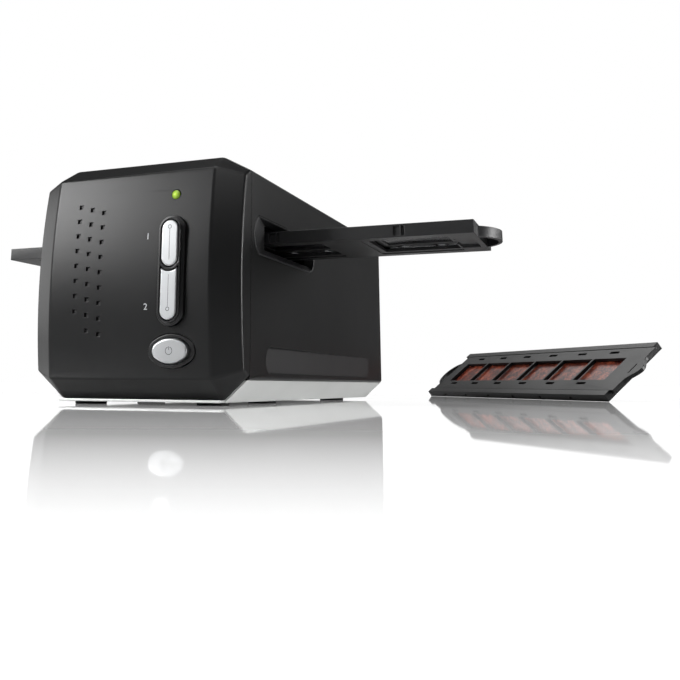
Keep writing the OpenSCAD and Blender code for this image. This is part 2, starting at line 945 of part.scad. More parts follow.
module main_board() {
    z = main_z + board_t;
    post_in = 5;
    chip_side = 16;
    chip_y = main_y0 + 3;
    color(board_green) {
        box([-main_half, main_y0, main_z], [main_half, main_y1, z]);
        for (s = [-1, 1], y = [main_y0 + post_in, main_y1 - socket_l - post_in])
            translate([s * (main_half - 5), y, floor_z])
                cylinder(r = 2.5, h = main_z - floor_z + eps);
    }
    color(gloss) {
        box([-12, chip_y, z - eps], [4, chip_y + chip_side, z + 1.8]);
        box([10, chip_y + 5, z - eps], [24, chip_y + 13, z + 1.5]);
    }
    color(silver)
        translate([-24, chip_y + chip_side, z - eps])
            cylinder(r = 4, h = 8);
}

// USB type B socket, its mouth flush with the rear panel
module usb_socket() {
    z0 = main_z + board_t;
    y0 = rear_y - socket_l;
    skin = 1.2;
    color(silver)
        difference() {
            box([usb_x - usb_w / 2, y0, z0], [usb_x + usb_w / 2, rear_y, z0 + usb_h]);
            box([usb_x - usb_w / 2 + skin, y0 + 3, z0 + skin],
                [usb_x + usb_w / 2 - skin, rear_y + 1, z0 + usb_h - skin]);
        }
    color(black)
        box([usb_x - 2.8, y0 + 3 - eps, z0 + usb_h / 2 - 1.6],
            [usb_x + 2.8, rear_y - 2, z0 + usb_h / 2 + 1.6]);
}

// Round power inlet with its centre pin
module dc_socket() {
    z0 = main_z + board_t;
    y0 = rear_y - socket_l;
    color(black)
        difference() {
            box([dc_x - dc_w / 2, y0, z0], [dc_x + dc_w / 2, rear_y, z0 + dc_h]);
            rod_y(2.8, dc_x, z0 + dc_h / 2, y0 + 3, rear_y + 1);
        }
    color(steel)
        rod_y(1, dc_x, z0 + dc_h / 2, y0 + 3 - eps, rear_y - 2);
}

module button_board() {
    half = 16;
    inset = 6;
    color(board_green)
        box([button_x - half, key_board_y, face_z0 + inset],
            [button_x + half, key_board_y + board_t, face_z1 - inset]);
}

switch_body = 3.5;
plunger = 1.2;
plunger_y = key_board_y - switch_body - plunger;
stem_end_y = plunger_y - button_travel - 0.1;

// Push switch on the button board, behind one button
module key_switch(z) {
    color(gloss)
        box([button_x - 3, key_board_y - switch_body, z - 3], [button_x + 3, key_board_y, z + 3]);
    color(silver)
        rod_y(1.7, button_x, z, plunger_y, key_board_y - switch_body + eps);
}

// Flat cable from the button board along the floor to the main board
module button_ribbon() {
    ribbon_x1 = button_x - 2;
    ribbon_x0 = ribbon_x1 - ribbon_w;
    rise = 18;
    t = ribbon_t;
    y0 = key_board_y + board_t;
    y1 = seam_y + tray_wall + 4;
    y2 = main_y0 + 4;
    z1 = split_z + 1;
    color("#c9c4b4") {
        box([ribbon_x0, y0, z1], [ribbon_x1, y0 + t, face_z0 + rise]);
        box([ribbon_x0, y0, z1], [ribbon_x1, y1, z1 + t]);
        box([ribbon_x0, y1 - t, floor_z], [ribbon_x1, y1, z1 + t]);
        box([ribbon_x0, y1 - t, floor_z], [ribbon_x1, y2, floor_z + t]);
        box([ribbon_x0, y2 - t, floor_z], [ribbon_x1, y2, main_z]);
    }
}

// ---------------------------------------------------------------- buttons

button_top_z = body_h - button_drop;
surround_r = button_r + 2.8;
surround_rim_r = button_r + 1.4;
surround_neck_r = button_r + 1.9;
surround_z0 = button_low_z;
surround_z1 = button_top_z;
surround_back_y = front_y + 1.8;
surround_end_y = front_y + 6;
upper_low_z = button_top_z - button_l;
bridge = 2.4;

// Outline of the upper scan button, grown by g
module upper_outline(g) {
    upright_slot(button_r + g, upper_low_z, button_top_z);
}

// Outline of the lower scan button, whose top is hollowed to clear the upper one, grown by g
module lower_outline(g) {
    difference() {
        upright_slot(button_r + g, button_low_z, upper_low_z - button_r / 2);
        translate([0, upper_low_z])
            circle(button_r + bridge - g);
    }
}

// Raised surround of the two scan buttons
module button_surround() {
    color(gloss)
        translate([button_x, 0, 0])
            difference() {
                union() {
                    along_y(front_y - 1.4, surround_back_y)
                        upright_slot(surround_r, surround_z0, surround_z1);
                    along_y(front_y - surround_out, front_y - 1.4 + eps)
                        upright_slot(surround_rim_r, surround_z0, surround_z1);
                    along_y(surround_back_y - eps, surround_end_y)
                        upright_slot(surround_neck_r, surround_z0, surround_z1);
                }
                along_y(front_y - 10, surround_end_y + 1) {
                    upper_outline(button_gap);
                    lower_outline(button_gap);
                }
            }
}

flange_y = surround_end_y + 0.3;
flange_t = 1.2;
flange_out = 0.9;

// A scan button: cap, flange behind the surround and stem towards its switch
module scan_button(stem_z) {
    translate([button_x, 0, 0]) {
        along_y(front_y - surround_out - 0.4, flange_y + eps)
            children(0);
        along_y(flange_y, flange_y + flange_t)
            children(1);
        rod_y(2, 0, stem_z, flange_y + flange_t - eps, stem_end_y);
    }
}

upper_stem_z = (upper_low_z + button_top_z) / 2;
lower_stem_z = (button_low_z + upper_low_z) / 2 - button_r / 2;

module button_upper() {
    color(silver)
        scan_button(upper_stem_z) {
            upper_outline(0);
            upper_outline(flange_out);
        }
}

module button_lower() {
    color(silver)
        scan_button(lower_stem_z) {
            lower_outline(0);
            lower_outline(flange_out);
        }
}

ring_a = power_a + 3.2;
ring_b = power_b + 2.2;
ring_back_y = front_y + face_sag(power_z) + 1.6;
ring_face_y = front_y + face_sag(power_z) - 0.6;
power_out = 3;

module power_ring() {
    color(gloss)
        translate([button_x, 0, power_z])
            along_y(ring_face_y, ring_back_y)
                difference() {
                    oval(ring_a, ring_b);
                    oval(power_a + button_gap, power_b + button_gap);
                }
}

module power_button() {
    color(silver)
        translate([button_x, 0, power_z]) {
            along_y(ring_face_y + 0.6 - power_out, flange_y + eps)
                oval(power_a, power_b);
            along_y(flange_y, flange_y + flange_t)
                oval(power_a + 1.4, power_b + 1.4);
            rod_y(2, 0, 0, flange_y + flange_t - eps, stem_end_y);
        }
}

// Green light pipe with a domed end
module status_lens() {
    face_y = front_y + face_sag(led_z);
    color("#5fbf2f") {
        rod_y(led_r, button_x, led_z, face_y + 0.3, key_board_y);
        intersection() {
            translate([button_x, face_y + led_r + 0.3 - 1.2, led_z])
                sphere(led_r * 1.25);
            rod_y(led_r, button_x, led_z, face_y - 4, face_y + 0.3 + eps);
        }
    }
}

// ---------------------------------------------------------------- slide holder

slide_bays = 4;
holder_x0 = slide_rest - slide_pitch - window_l / 2 - end_l;
holder_x1 = holder_x0 + holder_l;
holder_y0 = slot_y - holder_w / 2;
holder_y1 = slot_y + holder_w / 2;
pocket_z = holder_z0 + 2.5;
loop_t = 2;
loop_half = 18;
hollow_w = 30;
function bay_x(i) = slide_rest + (i - 1) * slide_pitch;

module slide_tray() {
    color(black)
        difference() {
            union() {
                box([holder_x0, holder_y0, holder_z0], [holder_x1, holder_y1, holder_z1]);
                finger_loop(loop_half, loop_out, holder_z0, holder_z1 - 1.1, holder_x1, slot_y);
            }
            for (i = [0:slide_bays - 1]) {
                translate([bay_x(i), slot_y, 0])
                    slide_bay();
                translate([bay_x(i) + notch_off, holder_y0, 0])
                    holder_notch();
            }
            // Hollow under the right end
            translate([holder_x1 - 8, slot_y, holder_z0 - eps])
                linear_extrude(1.6) {
                    square([10, hollow_w], center = true);
                    translate([-5, 0])
                        circle(6);
                }
        }
}

// Pocket, window and underside step of one slide
module slide_bay() {
    box([-slide_side / 2, -slide_side / 2, pocket_z], [slide_side / 2, slide_side / 2, holder_z1 + 1]);
    box([-window_l / 2, -window_w / 2, holder_z0 - 1], [window_l / 2, window_w / 2, pocket_z + 1]);
    box([-window_l / 2 - 3, -window_w / 2 - 4, holder_z0 - 1],
        [window_l / 2 + 1, window_w / 2 + 4, holder_z0 + 0.6]);
}

// Position mark in the holder's front face: two notches with a rib between them
module holder_notch() {
    deep = 1.2;
    z0 = holder_z0 + 0.9;
    z1 = holder_z1 - 0.9;
    box([-2.8, -1, z0], [0.5, deep, z1]);
    box([1.4, -1, z0], [2.8, deep, z1]);
}

// Half-round loop for a finger at the end of a holder
module finger_loop(half, out, z0, z1, x, y) {
    loop_r = (half * half + out * out) / (2 * out);
    translate([x + out - loop_r, y, z0])
        intersection() {
            difference() {
                cylinder(r = loop_r, h = z1 - z0, $fn = 96);
                translate([0, 0, -1])
                    cylinder(r = loop_r - loop_t, h = z1 - z0 + 2, $fn = 96);
            }
            translate([loop_r - out - 1, -half - 2, 0])
                cube([out + 2, 2 * half + 4, z1 - z0]);
        }
}

// Wavy leaves that press the slides from both long sides of each pocket
module slide_springs() {
    leaf_t = 0.6;
    color(steel)
        for (i = [0:slide_bays - 1], s = [-1, 1])
            translate([bay_x(i), slot_y + s * (window_w / 2 + 2.2), pocket_z])
                linear_extrude(leaf_t) {
                    square([window_l - 4, 4], center = true);
                    for (u = [-1, 1])
                        translate([u * window_l / 4, -s * 0.4])
                            circle(4);
                }
}

// ---------------------------------------------------------------- strip holder

// Puts a piece, drawn along a, b and c, where the strip holder leans
module strip_place() {
    translate(strip_at)
        rotate([0, 0, strip_turn])
            rotate([strip_tilt, 0, 0])
                children();
}

film_b0 = (strip_w - film_w) / 2;
film_a0 = strip_frame_a - 1.5;
film_l = strip_window_l + 3;

module strip_base() {
    color(black)
        strip_place()
            difference() {
                union() {
                    box([0, 0, 0], [strip_l, strip_w, strip_floor]);
                    for (b = [0, strip_w - strip_rail])
                        box([0, b, 0], [strip_l, b + strip_rail, strip_t]);
                    translate([0, 0, 0])
                        mirror([1, 0, 0])
                            finger_loop(strip_loop_half, loop_out, 0, strip_t - 1.2, 0, strip_w / 2);
                }
                for (i = [0:frames - 1])
                    box([frame_a(i), (strip_w - frame_w) / 2, -1],
                        [frame_a(i) + frame_l, (strip_w + frame_w) / 2, strip_floor + 1]);
                // Holes in the lower edge, one for each negative
                for (i = [0:frames - 1])
                    translate([frame_a(i) + 12.6, -1, strip_t / 2 - 0.3])
                        rotate([-90, 0, 0])
                            cylinder(r = 1.2, h = 2.2, $fn = 24);
                translate([pin_a, -1, pin_c])
                    rotate([-90, 0, 0])
                        cylinder(r = pin_r + fit, h = strip_w + 2);
                // Channel of the film
                box([film_a0 - 0.5, film_b0 - 0.3, strip_floor - 0.4],
                    [film_a0 + film_l + 0.5, film_b0 + film_w + 0.3, strip_floor + 1]);
            }
}
function frame_a(i) = strip_frame_a + i * frame_pitch;

module strip_film() {
    film_t = 0.3;
    z0 = strip_floor - 0.4;
    color(orange_film)
        strip_place()
            box([film_a0, film_b0, z0], [film_a0 + film_l, film_b0 + film_w, z0 + film_t]);
}

module strip_pin() {
    color(steel)
        strip_place()
            translate([pin_a, 0.5, pin_c])
                rotate([-90, 0, 0])
                    cylinder(r = pin_r, h = strip_w - 1);
}

// Hinged frame that closes over the film
module strip_cover() {
    b0 = strip_rail + cover_play;
    b1 = strip_w - strip_rail - cover_play;
    window_b0 = (strip_w - frame_w) / 2 - 0.6;
    window_b1 = (strip_w + frame_w) / 2 + 0.6;
    color(black)
        strip_place()
            difference() {
                union() {
                    box([pin_a, b0, cover_c0], [strip_l + cover_over, b1, cover_c1]);
                    translate([pin_a, b0, pin_c])
                        rotate([-90, 0, 0])
                            cylinder(r = 1.5, h = b1 - b0);
                    cover_tab();
                }
                for (i = [0:frames - 1])
                    box([frame_a(i), window_b0, cover_c0 - 1],
                        [frame_a(i) + frame_l, window_b1, strip_t + 1]);
                for (i = [0:frames - 1]) {
                    cover_slot(frame_a(i) + 13.4, window_b0 - 3.9);
                    cover_slot(frame_a(i) + 16.4, window_b1 + 7.2);
                }
                // Short slot beside the tab
                box([strip_l + 0.4, strip_w / 2 - 5, cover_c0 - 1],
                    [strip_l + 1.4, strip_w / 2 + 5, strip_t + 1]);
                translate([pin_a, -1, pin_c])
                    rotate([-90, 0, 0])
                        cylinder(r = pin_r + fit, h = strip_w + 2);
            }
}

// Tab with soft flanks that stands out over the base's right end
module cover_tab() {
    steps = 16;
    half = 14;
    out = 7;
    a0 = strip_l + cover_over;
    translate([0, strip_w / 2, cover_c0])
        linear_extrude(cover_c1 - cover_c0)
            polygon(concat(
                [[a0 - 1, -half]],
                [for (i = [0:steps])
                    let (t = 2 * i / steps - 1)
                    [a0 + out * (1 + cos(180 * t)) / 2, half * t]],
                [[a0 - 1, half]]
            ));
}

// Oblong slot in the cover
module cover_slot(a, b) {
    slot_r = 1.2;
    slot_half = 5.2;
    translate([a, b, cover_c0 - 1])
        linear_extrude(strip_t) {
            square([2 * (slot_half - slot_r), 2 * slot_r], center = true);
            for (s = [-1, 1])
                translate([s * (slot_half - slot_r), 0])
                    circle(slot_r, $fn = 24);
        }
}

// ---------------------------------------------------------------- nodes

base_tray();
top_cover();
front_bezel();
rear_panel();
slot_bezel(1);  // slot_bezel_right
slot_bezel(-1);  // slot_bezel_left
flap_pin(1);  // flap_pin_right
flap_pin(-1);  // flap_pin_left
dust_flap(1);  // dust_flap_right
dust_flap(-1);  // dust_flap_left
film_gate();
detent_spring();
lamp_housing();
lamp_diffuser();
lamp_board();
lamp_ribbon();
guide_rod(1);  // guide_rod_right
guide_rod(-1);  // guide_rod_left
rod_block(block_front_y);  // rod_block_front
rod_block(block_rear_y);  // rod_block_rear
drive_motor();
lead_screw();
carriage_frame();
carriage_mirror();
lens_barrel();
lens_glass();
sensor_board();
image_sensor();
drive_nut();
rod_bush(1);  // rod_bush_right
rod_bush(-1);  // rod_bush_left
main_board();
usb_socket();
dc_socket();
button_surround();
button_upper();
button_lower();
power_ring();
power_button();
status_lens();
button_board();
key_switch(upper_stem_z);  // switch_upper
key_switch(lower_stem_z);  // switch_lower
key_switch(power_z);  // switch_power
button_ribbon();
case_screws();
foot(1, foot_front_y);  // foot_front_right
foot(-1, foot_front_y);  // foot_front_left
foot(1, foot_middle_y);  // foot_middle_right
foot(-1, foot_middle_y);  // foot_middle_left
foot(1, foot_rear_y);  // foot_rear_right
foot(-1, foot_rear_y);  // foot_rear_left
slide_tray();
slide_springs();
strip_base();
strip_cover();
strip_film();
strip_pin();
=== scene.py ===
# %% [markdown]
# # A desktop film negative scanner
#
# The object is a black box on a low silver base. A long holder with four slides is
# pushed through a slot in both sides, and a second holder with a strip of six
# negatives leans beside the box. The solid model gives every size; this script gives
# the pieces their rounded edges, their finish and the light they are seen in.
# Sizes are in metres. The front looks towards -Y and +Z is up.

# %% Load the solid model
import json
import math
import bpy
import bmesh
from mathutils import Matrix, Vector

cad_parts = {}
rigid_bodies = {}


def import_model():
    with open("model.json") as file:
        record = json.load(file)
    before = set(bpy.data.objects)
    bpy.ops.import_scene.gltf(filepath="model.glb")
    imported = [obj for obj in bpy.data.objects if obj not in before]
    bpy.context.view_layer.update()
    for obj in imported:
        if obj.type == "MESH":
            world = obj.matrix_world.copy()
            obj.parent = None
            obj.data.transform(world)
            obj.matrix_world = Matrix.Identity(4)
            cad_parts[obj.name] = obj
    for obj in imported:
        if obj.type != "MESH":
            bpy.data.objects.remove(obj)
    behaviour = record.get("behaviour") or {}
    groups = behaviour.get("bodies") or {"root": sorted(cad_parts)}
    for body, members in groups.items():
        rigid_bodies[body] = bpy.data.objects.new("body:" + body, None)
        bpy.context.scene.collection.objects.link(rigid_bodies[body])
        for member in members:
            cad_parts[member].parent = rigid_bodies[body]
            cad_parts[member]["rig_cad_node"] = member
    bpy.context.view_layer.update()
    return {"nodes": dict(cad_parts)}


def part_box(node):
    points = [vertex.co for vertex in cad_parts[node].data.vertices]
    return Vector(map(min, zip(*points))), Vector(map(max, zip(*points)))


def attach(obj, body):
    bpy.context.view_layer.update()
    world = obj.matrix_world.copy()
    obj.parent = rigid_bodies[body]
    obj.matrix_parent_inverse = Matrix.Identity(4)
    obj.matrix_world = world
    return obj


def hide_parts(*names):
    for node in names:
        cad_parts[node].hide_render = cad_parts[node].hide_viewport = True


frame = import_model()
nodes = frame["nodes"]
MM = 0.001


def node_size(name):
    """Lowest and highest corner of a solid, in millimetres."""
    low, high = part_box(name)
    return low / MM, high / MM


# %% [markdown]
# ## The camera
#
# The scanner is seen from very low, just above the desk, and from the right of its
# front. The lens is a little longer than normal, so the box narrows gently towards
# its rear. The camera is set by its place, its turn about the vertical and its tilt.

# %% Camera
turn, tilt, roll = 0.3871, 0.2172, 0.0065
camera_place = Vector((0.2180084, -0.4846078, 0.0103970))
camera_data = bpy.data.cameras.new("view")
camera = bpy.data.objects.new("view", camera_data)
bpy.context.scene.collection.objects.link(camera)
bpy.context.scene.camera = camera
camera_data.lens = 44.407
camera_data.sensor_width = 36.0
camera_data.shift_x, camera_data.shift_y = 0.10549, -0.20745
camera_data.clip_start, camera_data.clip_end = 0.01, 100.0

forward = Vector((-math.sin(turn) * math.cos(tilt),
                  math.cos(turn) * math.cos(tilt),
                  math.sin(tilt)))
level_right = forward.cross(Vector((0, 0, 1))).normalized()
level_up = level_right.cross(forward)
right = math.cos(roll) * level_right + math.sin(roll) * level_up
up = math.cos(roll) * level_up - math.sin(roll) * level_right
pose = Matrix((right, up, -forward)).transposed().to_4x4()
pose.translation = camera_place
camera.matrix_world = pose
print("camera at", tuple(round(v, 4) for v in camera.location))

# %% [markdown]
# ## Helpers for modelling
#
# Operators act on everything that is selected, so each step starts by deselecting all.
# `fresh` makes one object the only selected and active one. `pick` opens a piece in edit
# mode and selects by a rule in code, because nobody clicks here, and `done` closes it.

# %% Selection helpers
def fresh(piece=None):
    if bpy.context.object and bpy.context.object.mode != "OBJECT":
        bpy.ops.object.mode_set(mode="OBJECT")
    bpy.ops.object.select_all(action="DESELECT")
    if piece:
        piece.select_set(True)
        bpy.context.view_layer.objects.active = piece
    return piece


def pick(piece, kind, rule):
    """Selects the faces, edges or vertices of a piece that a rule accepts, in edit mode."""
    fresh(piece)
    bpy.ops.object.mode_set(mode="EDIT")
    bpy.ops.mesh.select_all(action="DESELECT")
    bpy.ops.mesh.select_mode(type={"faces": "FACE", "edges": "EDGE", "verts": "VERT"}[kind])
    mesh = bmesh.from_edit_mesh(piece.data)
    found = 0
    for item in getattr(mesh, kind):
        if rule(item):
            item.select_set(True)
            found += 1
    mesh.select_flush_mode()
    bmesh.update_edit_mesh(piece.data)
    return found


def done():
    bpy.ops.object.mode_set(mode="OBJECT")


def edge_angle(edge):
    return math.degrees(edge.calc_face_angle(0.0)) if len(edge.link_faces) == 2 else 0.0


def middle(edge):
    return (edge.verts[0].co + edge.verts[1].co) / 2


def smooth(piece, angle=35):
    """Smooth shading whose normals follow the large faces, so flat walls stay flat."""
    fresh(piece)
    bpy.ops.object.shade_smooth_by_angle(angle=math.radians(angle))
    if "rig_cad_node" not in piece:
        step = piece.modifiers.new("flat_walls", "WEIGHTED_NORMAL")
        step.weight = 50
        step.keep_sharp = True
        bpy.ops.object.modifier_apply(modifier=step.name)


def apply_all(piece):
    fresh(piece)
    for step in list(piece.modifiers):
        bpy.ops.object.modifier_apply(modifier=step.name)


# %% [markdown]
# `solid_copy` makes a workable copy of a solid. A solid arrives as loose triangles, so
# the copy has its doubles merged, after which its edges can be rounded. `round_edges`
# adds a Bevel modifier: moulded plastic never has a knife edge, and the thin bright line
# on a rounded edge is what makes a black box readable.

# %% Copies with rounded edges
def solid_copy(node, name):
    mesh = nodes[node].data.copy()
    mesh.materials.clear()
    piece = bpy.data.objects.new(name, mesh)
    bpy.context.scene.collection.objects.link(piece)
    pick(piece, "verts", lambda v: True)
    bpy.ops.mesh.remove_doubles(threshold=2e-6)
    done()
    return piece


def round_edges(piece, width, angle=32, segments=3):
    step = piece.modifiers.new("round", "BEVEL")
    step.width = width * MM
    step.segments = segments
    step.limit_method = "ANGLE"
    step.angle_limit = math.radians(angle)
    step.use_clamp_overlap = False
    apply_all(piece)


def keep_in_box(piece, node):
    """A rounding can overshoot by a tenth of a millimetre: it is brought back to the box."""
    low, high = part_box(node)
    for v in piece.data.vertices:
        v.co = [min(max(v.co[i], low[i]), high[i]) for i in range(3)]


def finish_piece(piece, node, body, material):
    """Gives a piece its material and its body, and hides the solid it stands for."""
    piece.data.materials.clear()
    piece.data.materials.append(material)
    if node:
        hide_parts(*([node] if isinstance(node, str) else node))
    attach(piece, body)
    return piece


# %% [markdown]
# ## Finishes
#
# Three small effects are shared, so each is one node group. `grain` is the fine spark
# texture of moulded plastic, `cloud` is a slow, faint change across a surface as from
# handling, and `brushed` is the fine streak of drawn metal. Each gives only values.
# Two helpers build all the node trees here: `put` adds a node with its traits and the
# values of its inputs, and `wire` joins nodes.

# %% Node helpers
def put(tree, kind, values=None, **traits):
    """Adds a shader node and sets its traits, then the values of its inputs."""
    item = tree.nodes.new("ShaderNode" + kind)
    for trait, value in traits.items():
        setattr(item, trait, value)
    for socket, value in (values or {}).items():
        item.inputs[socket].default_value = value
    return item


def wire(tree, *links):
    """Joins nodes: each link is a node, its output, the next node and its input."""
    for source, output, target, socket in links:
        tree.links.new(source.outputs[output], target.inputs[socket])


# %% Shared effects
def group(name, inputs):
    tree = bpy.data.node_groups.new(name, "ShaderNodeTree")
    for label, value in inputs.items():
        socket = tree.interface.new_socket(label, in_out="INPUT", socket_type="NodeSocketFloat")
        socket.default_value = value
    tree.interface.new_socket("Value", in_out="OUTPUT", socket_type="NodeSocketFloat")
    return tree, tree.nodes.new("NodeGroupInput"), tree.nodes.new("NodeGroupOutput")


def noise_group(name, scale, detail, stretch):
    tree, given, result = group(name, {"Scale": scale, "Low": 0.0, "High": 1.0})
    place = put(tree, "TexCoord")
    shape = put(tree, "Mapping", {"Scale": stretch})
    noise = put(tree, "TexNoise", {"Detail": detail})
    span = put(tree, "MapRange", {"From Min": 0.25, "From Max": 0.75})
    wire(tree,
         (place, "Object", shape, "Vector"),
         (shape, "Vector", noise, "Vector"),
         (given, "Scale", noise, "Scale"),
         (noise, "Fac", span, "Value"),
         (given, "Low", span, "To Min"),
         (given, "High", span, "To Max"),
         (span, "Result", result, "Value"))
    return tree


grain = noise_group("grain", 2600.0, 2.0, (1, 1, 1))
cloud = noise_group("cloud", 18.0, 3.0, (1, 1, 1))
brushed = noise_group("brushed", 500.0, 3.0, (1, 1, 0.03))
print("groups:", [g.name for g in bpy.data.node_groups])


# %% [markdown]
# `finish` builds a material from a Principled shader: its colour drifts a little with
# `cloud`, its roughness moves between two values, and `grain` or `brushed` lifts the
# surface through a Bump node. The heights are in millimetres, a few hundredths at most.

# %% Material helper
def colour_of(value):
    return (value[0], value[1], value[2], 1.0)


def finish(name, colour, rough, metal=0.0, drift=0.06, fine=grain, fine_scale=2600.0,
           height=0.004, specular=0.5):
    """A material from its colour, its lowest and highest roughness and its finish."""
    material = bpy.data.materials.new(name)
    material.use_nodes = True
    tree = material.node_tree
    shader = tree.nodes["Principled BSDF"]
    shader.inputs["Metallic"].default_value = metal
    shader.inputs["Specular IOR Level"].default_value = specular

    slow = put(tree, "Group", node_tree=cloud)
    darker = colour_of([c * (1 - drift) for c in colour])
    lighter = colour_of([min(1.0, c * (1 + drift)) for c in colour])
    shade = put(tree, "Mix", {"A": darker, "B": lighter}, data_type="RGBA")
    gloss = put(tree, "MapRange", {"To Min": rough[0], "To Max": rough[1]})
    wire(tree,
         (slow, "Value", shade, "Factor"),
         (shade, "Result", shader, "Base Color"),
         (slow, "Value", gloss, "Value"),
         (gloss, "Result", shader, "Roughness"))

    if height:
        texture = put(tree, "Group", {"Scale": fine_scale}, node_tree=fine)
        bump = put(tree, "Bump", {"Strength": 0.5, "Distance": height * MM})
        wire(tree,
             (texture, "Value", bump, "Height"),
             (bump, "Normal", shader, "Normal"))
    return material


# %% [markdown]
# The black shells are satin with a fine grain. The frames round the buttons are smooth and
# glossier, and the slot inserts are a finer, lighter satin. The grips take the same finer satin,
# and there its lighter colour is painted light. The base is silver paint, the buttons are satin
# metal and the feet are dull rubber.

# %% Plastics, metals and rubber
case_black = finish("case_black", (0.0060, 0.0061, 0.0065), (0.30, 0.36),
                    height=0.012, specular=0.3)
trim_black = finish("trim_black", (0.006, 0.006, 0.0065), (0.24, 0.3), height=0.0)
# Near black with almost no gloss: painted shade for the ring round the status light.
shade_ring_black = finish("shade_ring_black", (0.002, 0.002, 0.002), (0.6, 0.7), height=0.0, specular=0.05)
# Also the colour of the grip sheets, where its lighter black is painted light.
insert_black = finish("insert_black", (0.016, 0.016, 0.017), (0.36, 0.44))
case_silver = finish("case_silver", (0.78, 0.79, 0.78), (0.36, 0.44), metal=0.3, height=0.008)
button_silver = finish("button_silver", (0.46, 0.47, 0.48), (0.28, 0.38), metal=0.85,
                       fine=brushed, fine_scale=900.0, height=0.006)
rubber_black = finish("rubber_black", (0.012, 0.012, 0.012), (0.75, 0.9),
                      fine_scale=1500.0, height=0.03, specular=0.3)
holder_black = finish("holder_black", (0.011, 0.0112, 0.012), (0.38, 0.46),
                      height=0.01, specular=0.4)
# The strip holder's black: a darker copy of the holder black, which is painted shade, with less
# gloss.
shaded_holder_black = finish("shaded_holder_black", (0.008, 0.0082, 0.0086), (0.34, 0.42),
                     height=0.01, specular=0.25)
steel = finish("steel", (0.55, 0.56, 0.57), (0.22, 0.34), metal=1.0,
               fine=brushed, fine_scale=700.0, height=0.003)
bronze = finish("bronze", (0.58, 0.40, 0.17), (0.25, 0.38), metal=1.0)
cable = finish("cable", (0.55, 0.52, 0.44), (0.4, 0.5), fine_scale=900.0, height=0.01)
diffuser_white = finish("diffuser_white", (0.82, 0.82, 0.79), (0.4, 0.5))
mirror_glass = finish("mirror_glass", (0.86, 0.88, 0.89), (0.02, 0.05), metal=1.0, height=0.0)
print_white = finish("print_white", (0.62, 0.63, 0.65), (0.45, 0.55), height=0.0)
# Dark marks: the colour of the power sign, and painted shade for the grooves of the scan buttons.
sign_and_groove_shade = finish("sign_and_groove_shade", (0.03, 0.03, 0.033), (0.4, 0.5), height=0.0)

# %% [markdown]
# A circuit board is green lacquer over copper tracks. The tracks are a brick pattern
# of fine lines, drawn as a slightly lighter green.

# %% Circuit board
board = finish("board", (0.012, 0.12, 0.045), (0.3, 0.4), height=0.006)
board_tree = board.node_tree
track_place = put(board_tree, "TexCoord")
tracks = put(board_tree, "TexBrick", {
    "Scale": 260.0, "Mortar Size": 0.04,
    "Color1": (0.010, 0.105, 0.040, 1),
    "Color2": (0.013, 0.13, 0.048, 1),
    "Mortar": (0.03, 0.22, 0.08, 1)})
wire(board_tree,
     (track_place, "Object", tracks, "Vector"),
     (tracks, "Color", board_tree.nodes["Principled BSDF"], "Base Color"))


# %% [markdown]
# The lens elements are glass, and the status light is a clear green light pipe that
# glows: its middle is yellow-green and its rim a deeper green.

# %% Glass and the light
lens_glass = bpy.data.materials.new("lens_glass")
lens_glass.use_nodes = True
glass_shader = lens_glass.node_tree.nodes["Principled BSDF"]
for socket, value in (("Base Color", (0.80, 0.85, 0.92, 1)), ("Roughness", 0.03),
                      ("Transmission Weight", 1.0), ("IOR", 1.5)):
    glass_shader.inputs[socket].default_value = value

light_pipe = finish("light_pipe", (0.26, 0.40, 0.03), (0.10, 0.18), height=0.0)
pipe = light_pipe.node_tree
pipe_shader = pipe.nodes["Principled BSDF"]
lens_low, lens_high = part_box("status_lens")
lens_front = ((lens_low.x + lens_high.x) / 2, lens_low.y, (lens_low.z + lens_high.z) / 2)
glow_reach = 0.0018
pipe_place = put(pipe, "TexCoord")
pipe_centre = put(pipe, "Mapping", {"Location": lens_front, "Scale": (glow_reach,) * 3},
                  vector_type="TEXTURE")
pipe_ball = put(pipe, "TexGradient", gradient_type="SPHERICAL")
pipe_glow = put(pipe, "Mix", {"A": (0.015, 0.04, 0.002, 1), "B": (0.42, 0.62, 0.06, 1)},
                data_type="RGBA")
wire(pipe,
     (pipe_place, "Object", pipe_centre, "Vector"),
     (pipe_centre, "Vector", pipe_ball, "Vector"),
     (pipe_ball, "Fac", pipe_glow, "Factor"),
     (pipe_glow, "Result", pipe_shader, "Emission Color"))
pipe_shader.inputs["Emission Strength"].default_value = 0.9

# %% [markdown]
# ## The film
#
# Developed colour negative is a red-brown base with pictures of no one in particular:
# soft darker and lighter patches under a fine speckle. All is drawn in the strip's own
# directions, so a Mapping node of the Texture kind first turns the object's coordinates
# back by the lean of the holder. A positive slide is the same idea in near black.

# %% Film material
strip_foot = Vector((0.050, 0.3505, 0.0))
strip_lean = (math.radians(37.6), 0.0, math.radians(-51.8))
film_brown = finish("film_brown", (0.30, 0.10, 0.04), (0.28, 0.4), height=0.0, specular=0.35)
film = film_brown.node_tree
film_coord = put(film, "TexCoord")
film_lean = put(film, "Mapping", {"Location": strip_foot, "Rotation": strip_lean},
                vector_type="TEXTURE")
film_patch = put(film, "TexNoise", {"Scale": 130.0, "Detail": 3.0})
film_speck = put(film, "TexNoise", {"Scale": 620.0, "Detail": 4.0, "Roughness": 0.7})
film_both = put(film, "Mix", {"Factor": 0.62})
film_ramp = put(film, "ValToRGB")
stops = film_ramp.color_ramp.elements
stops[0].position, stops[0].color = 0.41, (0.030, 0.008, 0.007, 1)
stops[1].position, stops[1].color = 0.60, (0.46, 0.11, 0.055, 1)
stops.new(0.5).color = (0.15, 0.030, 0.018, 1)
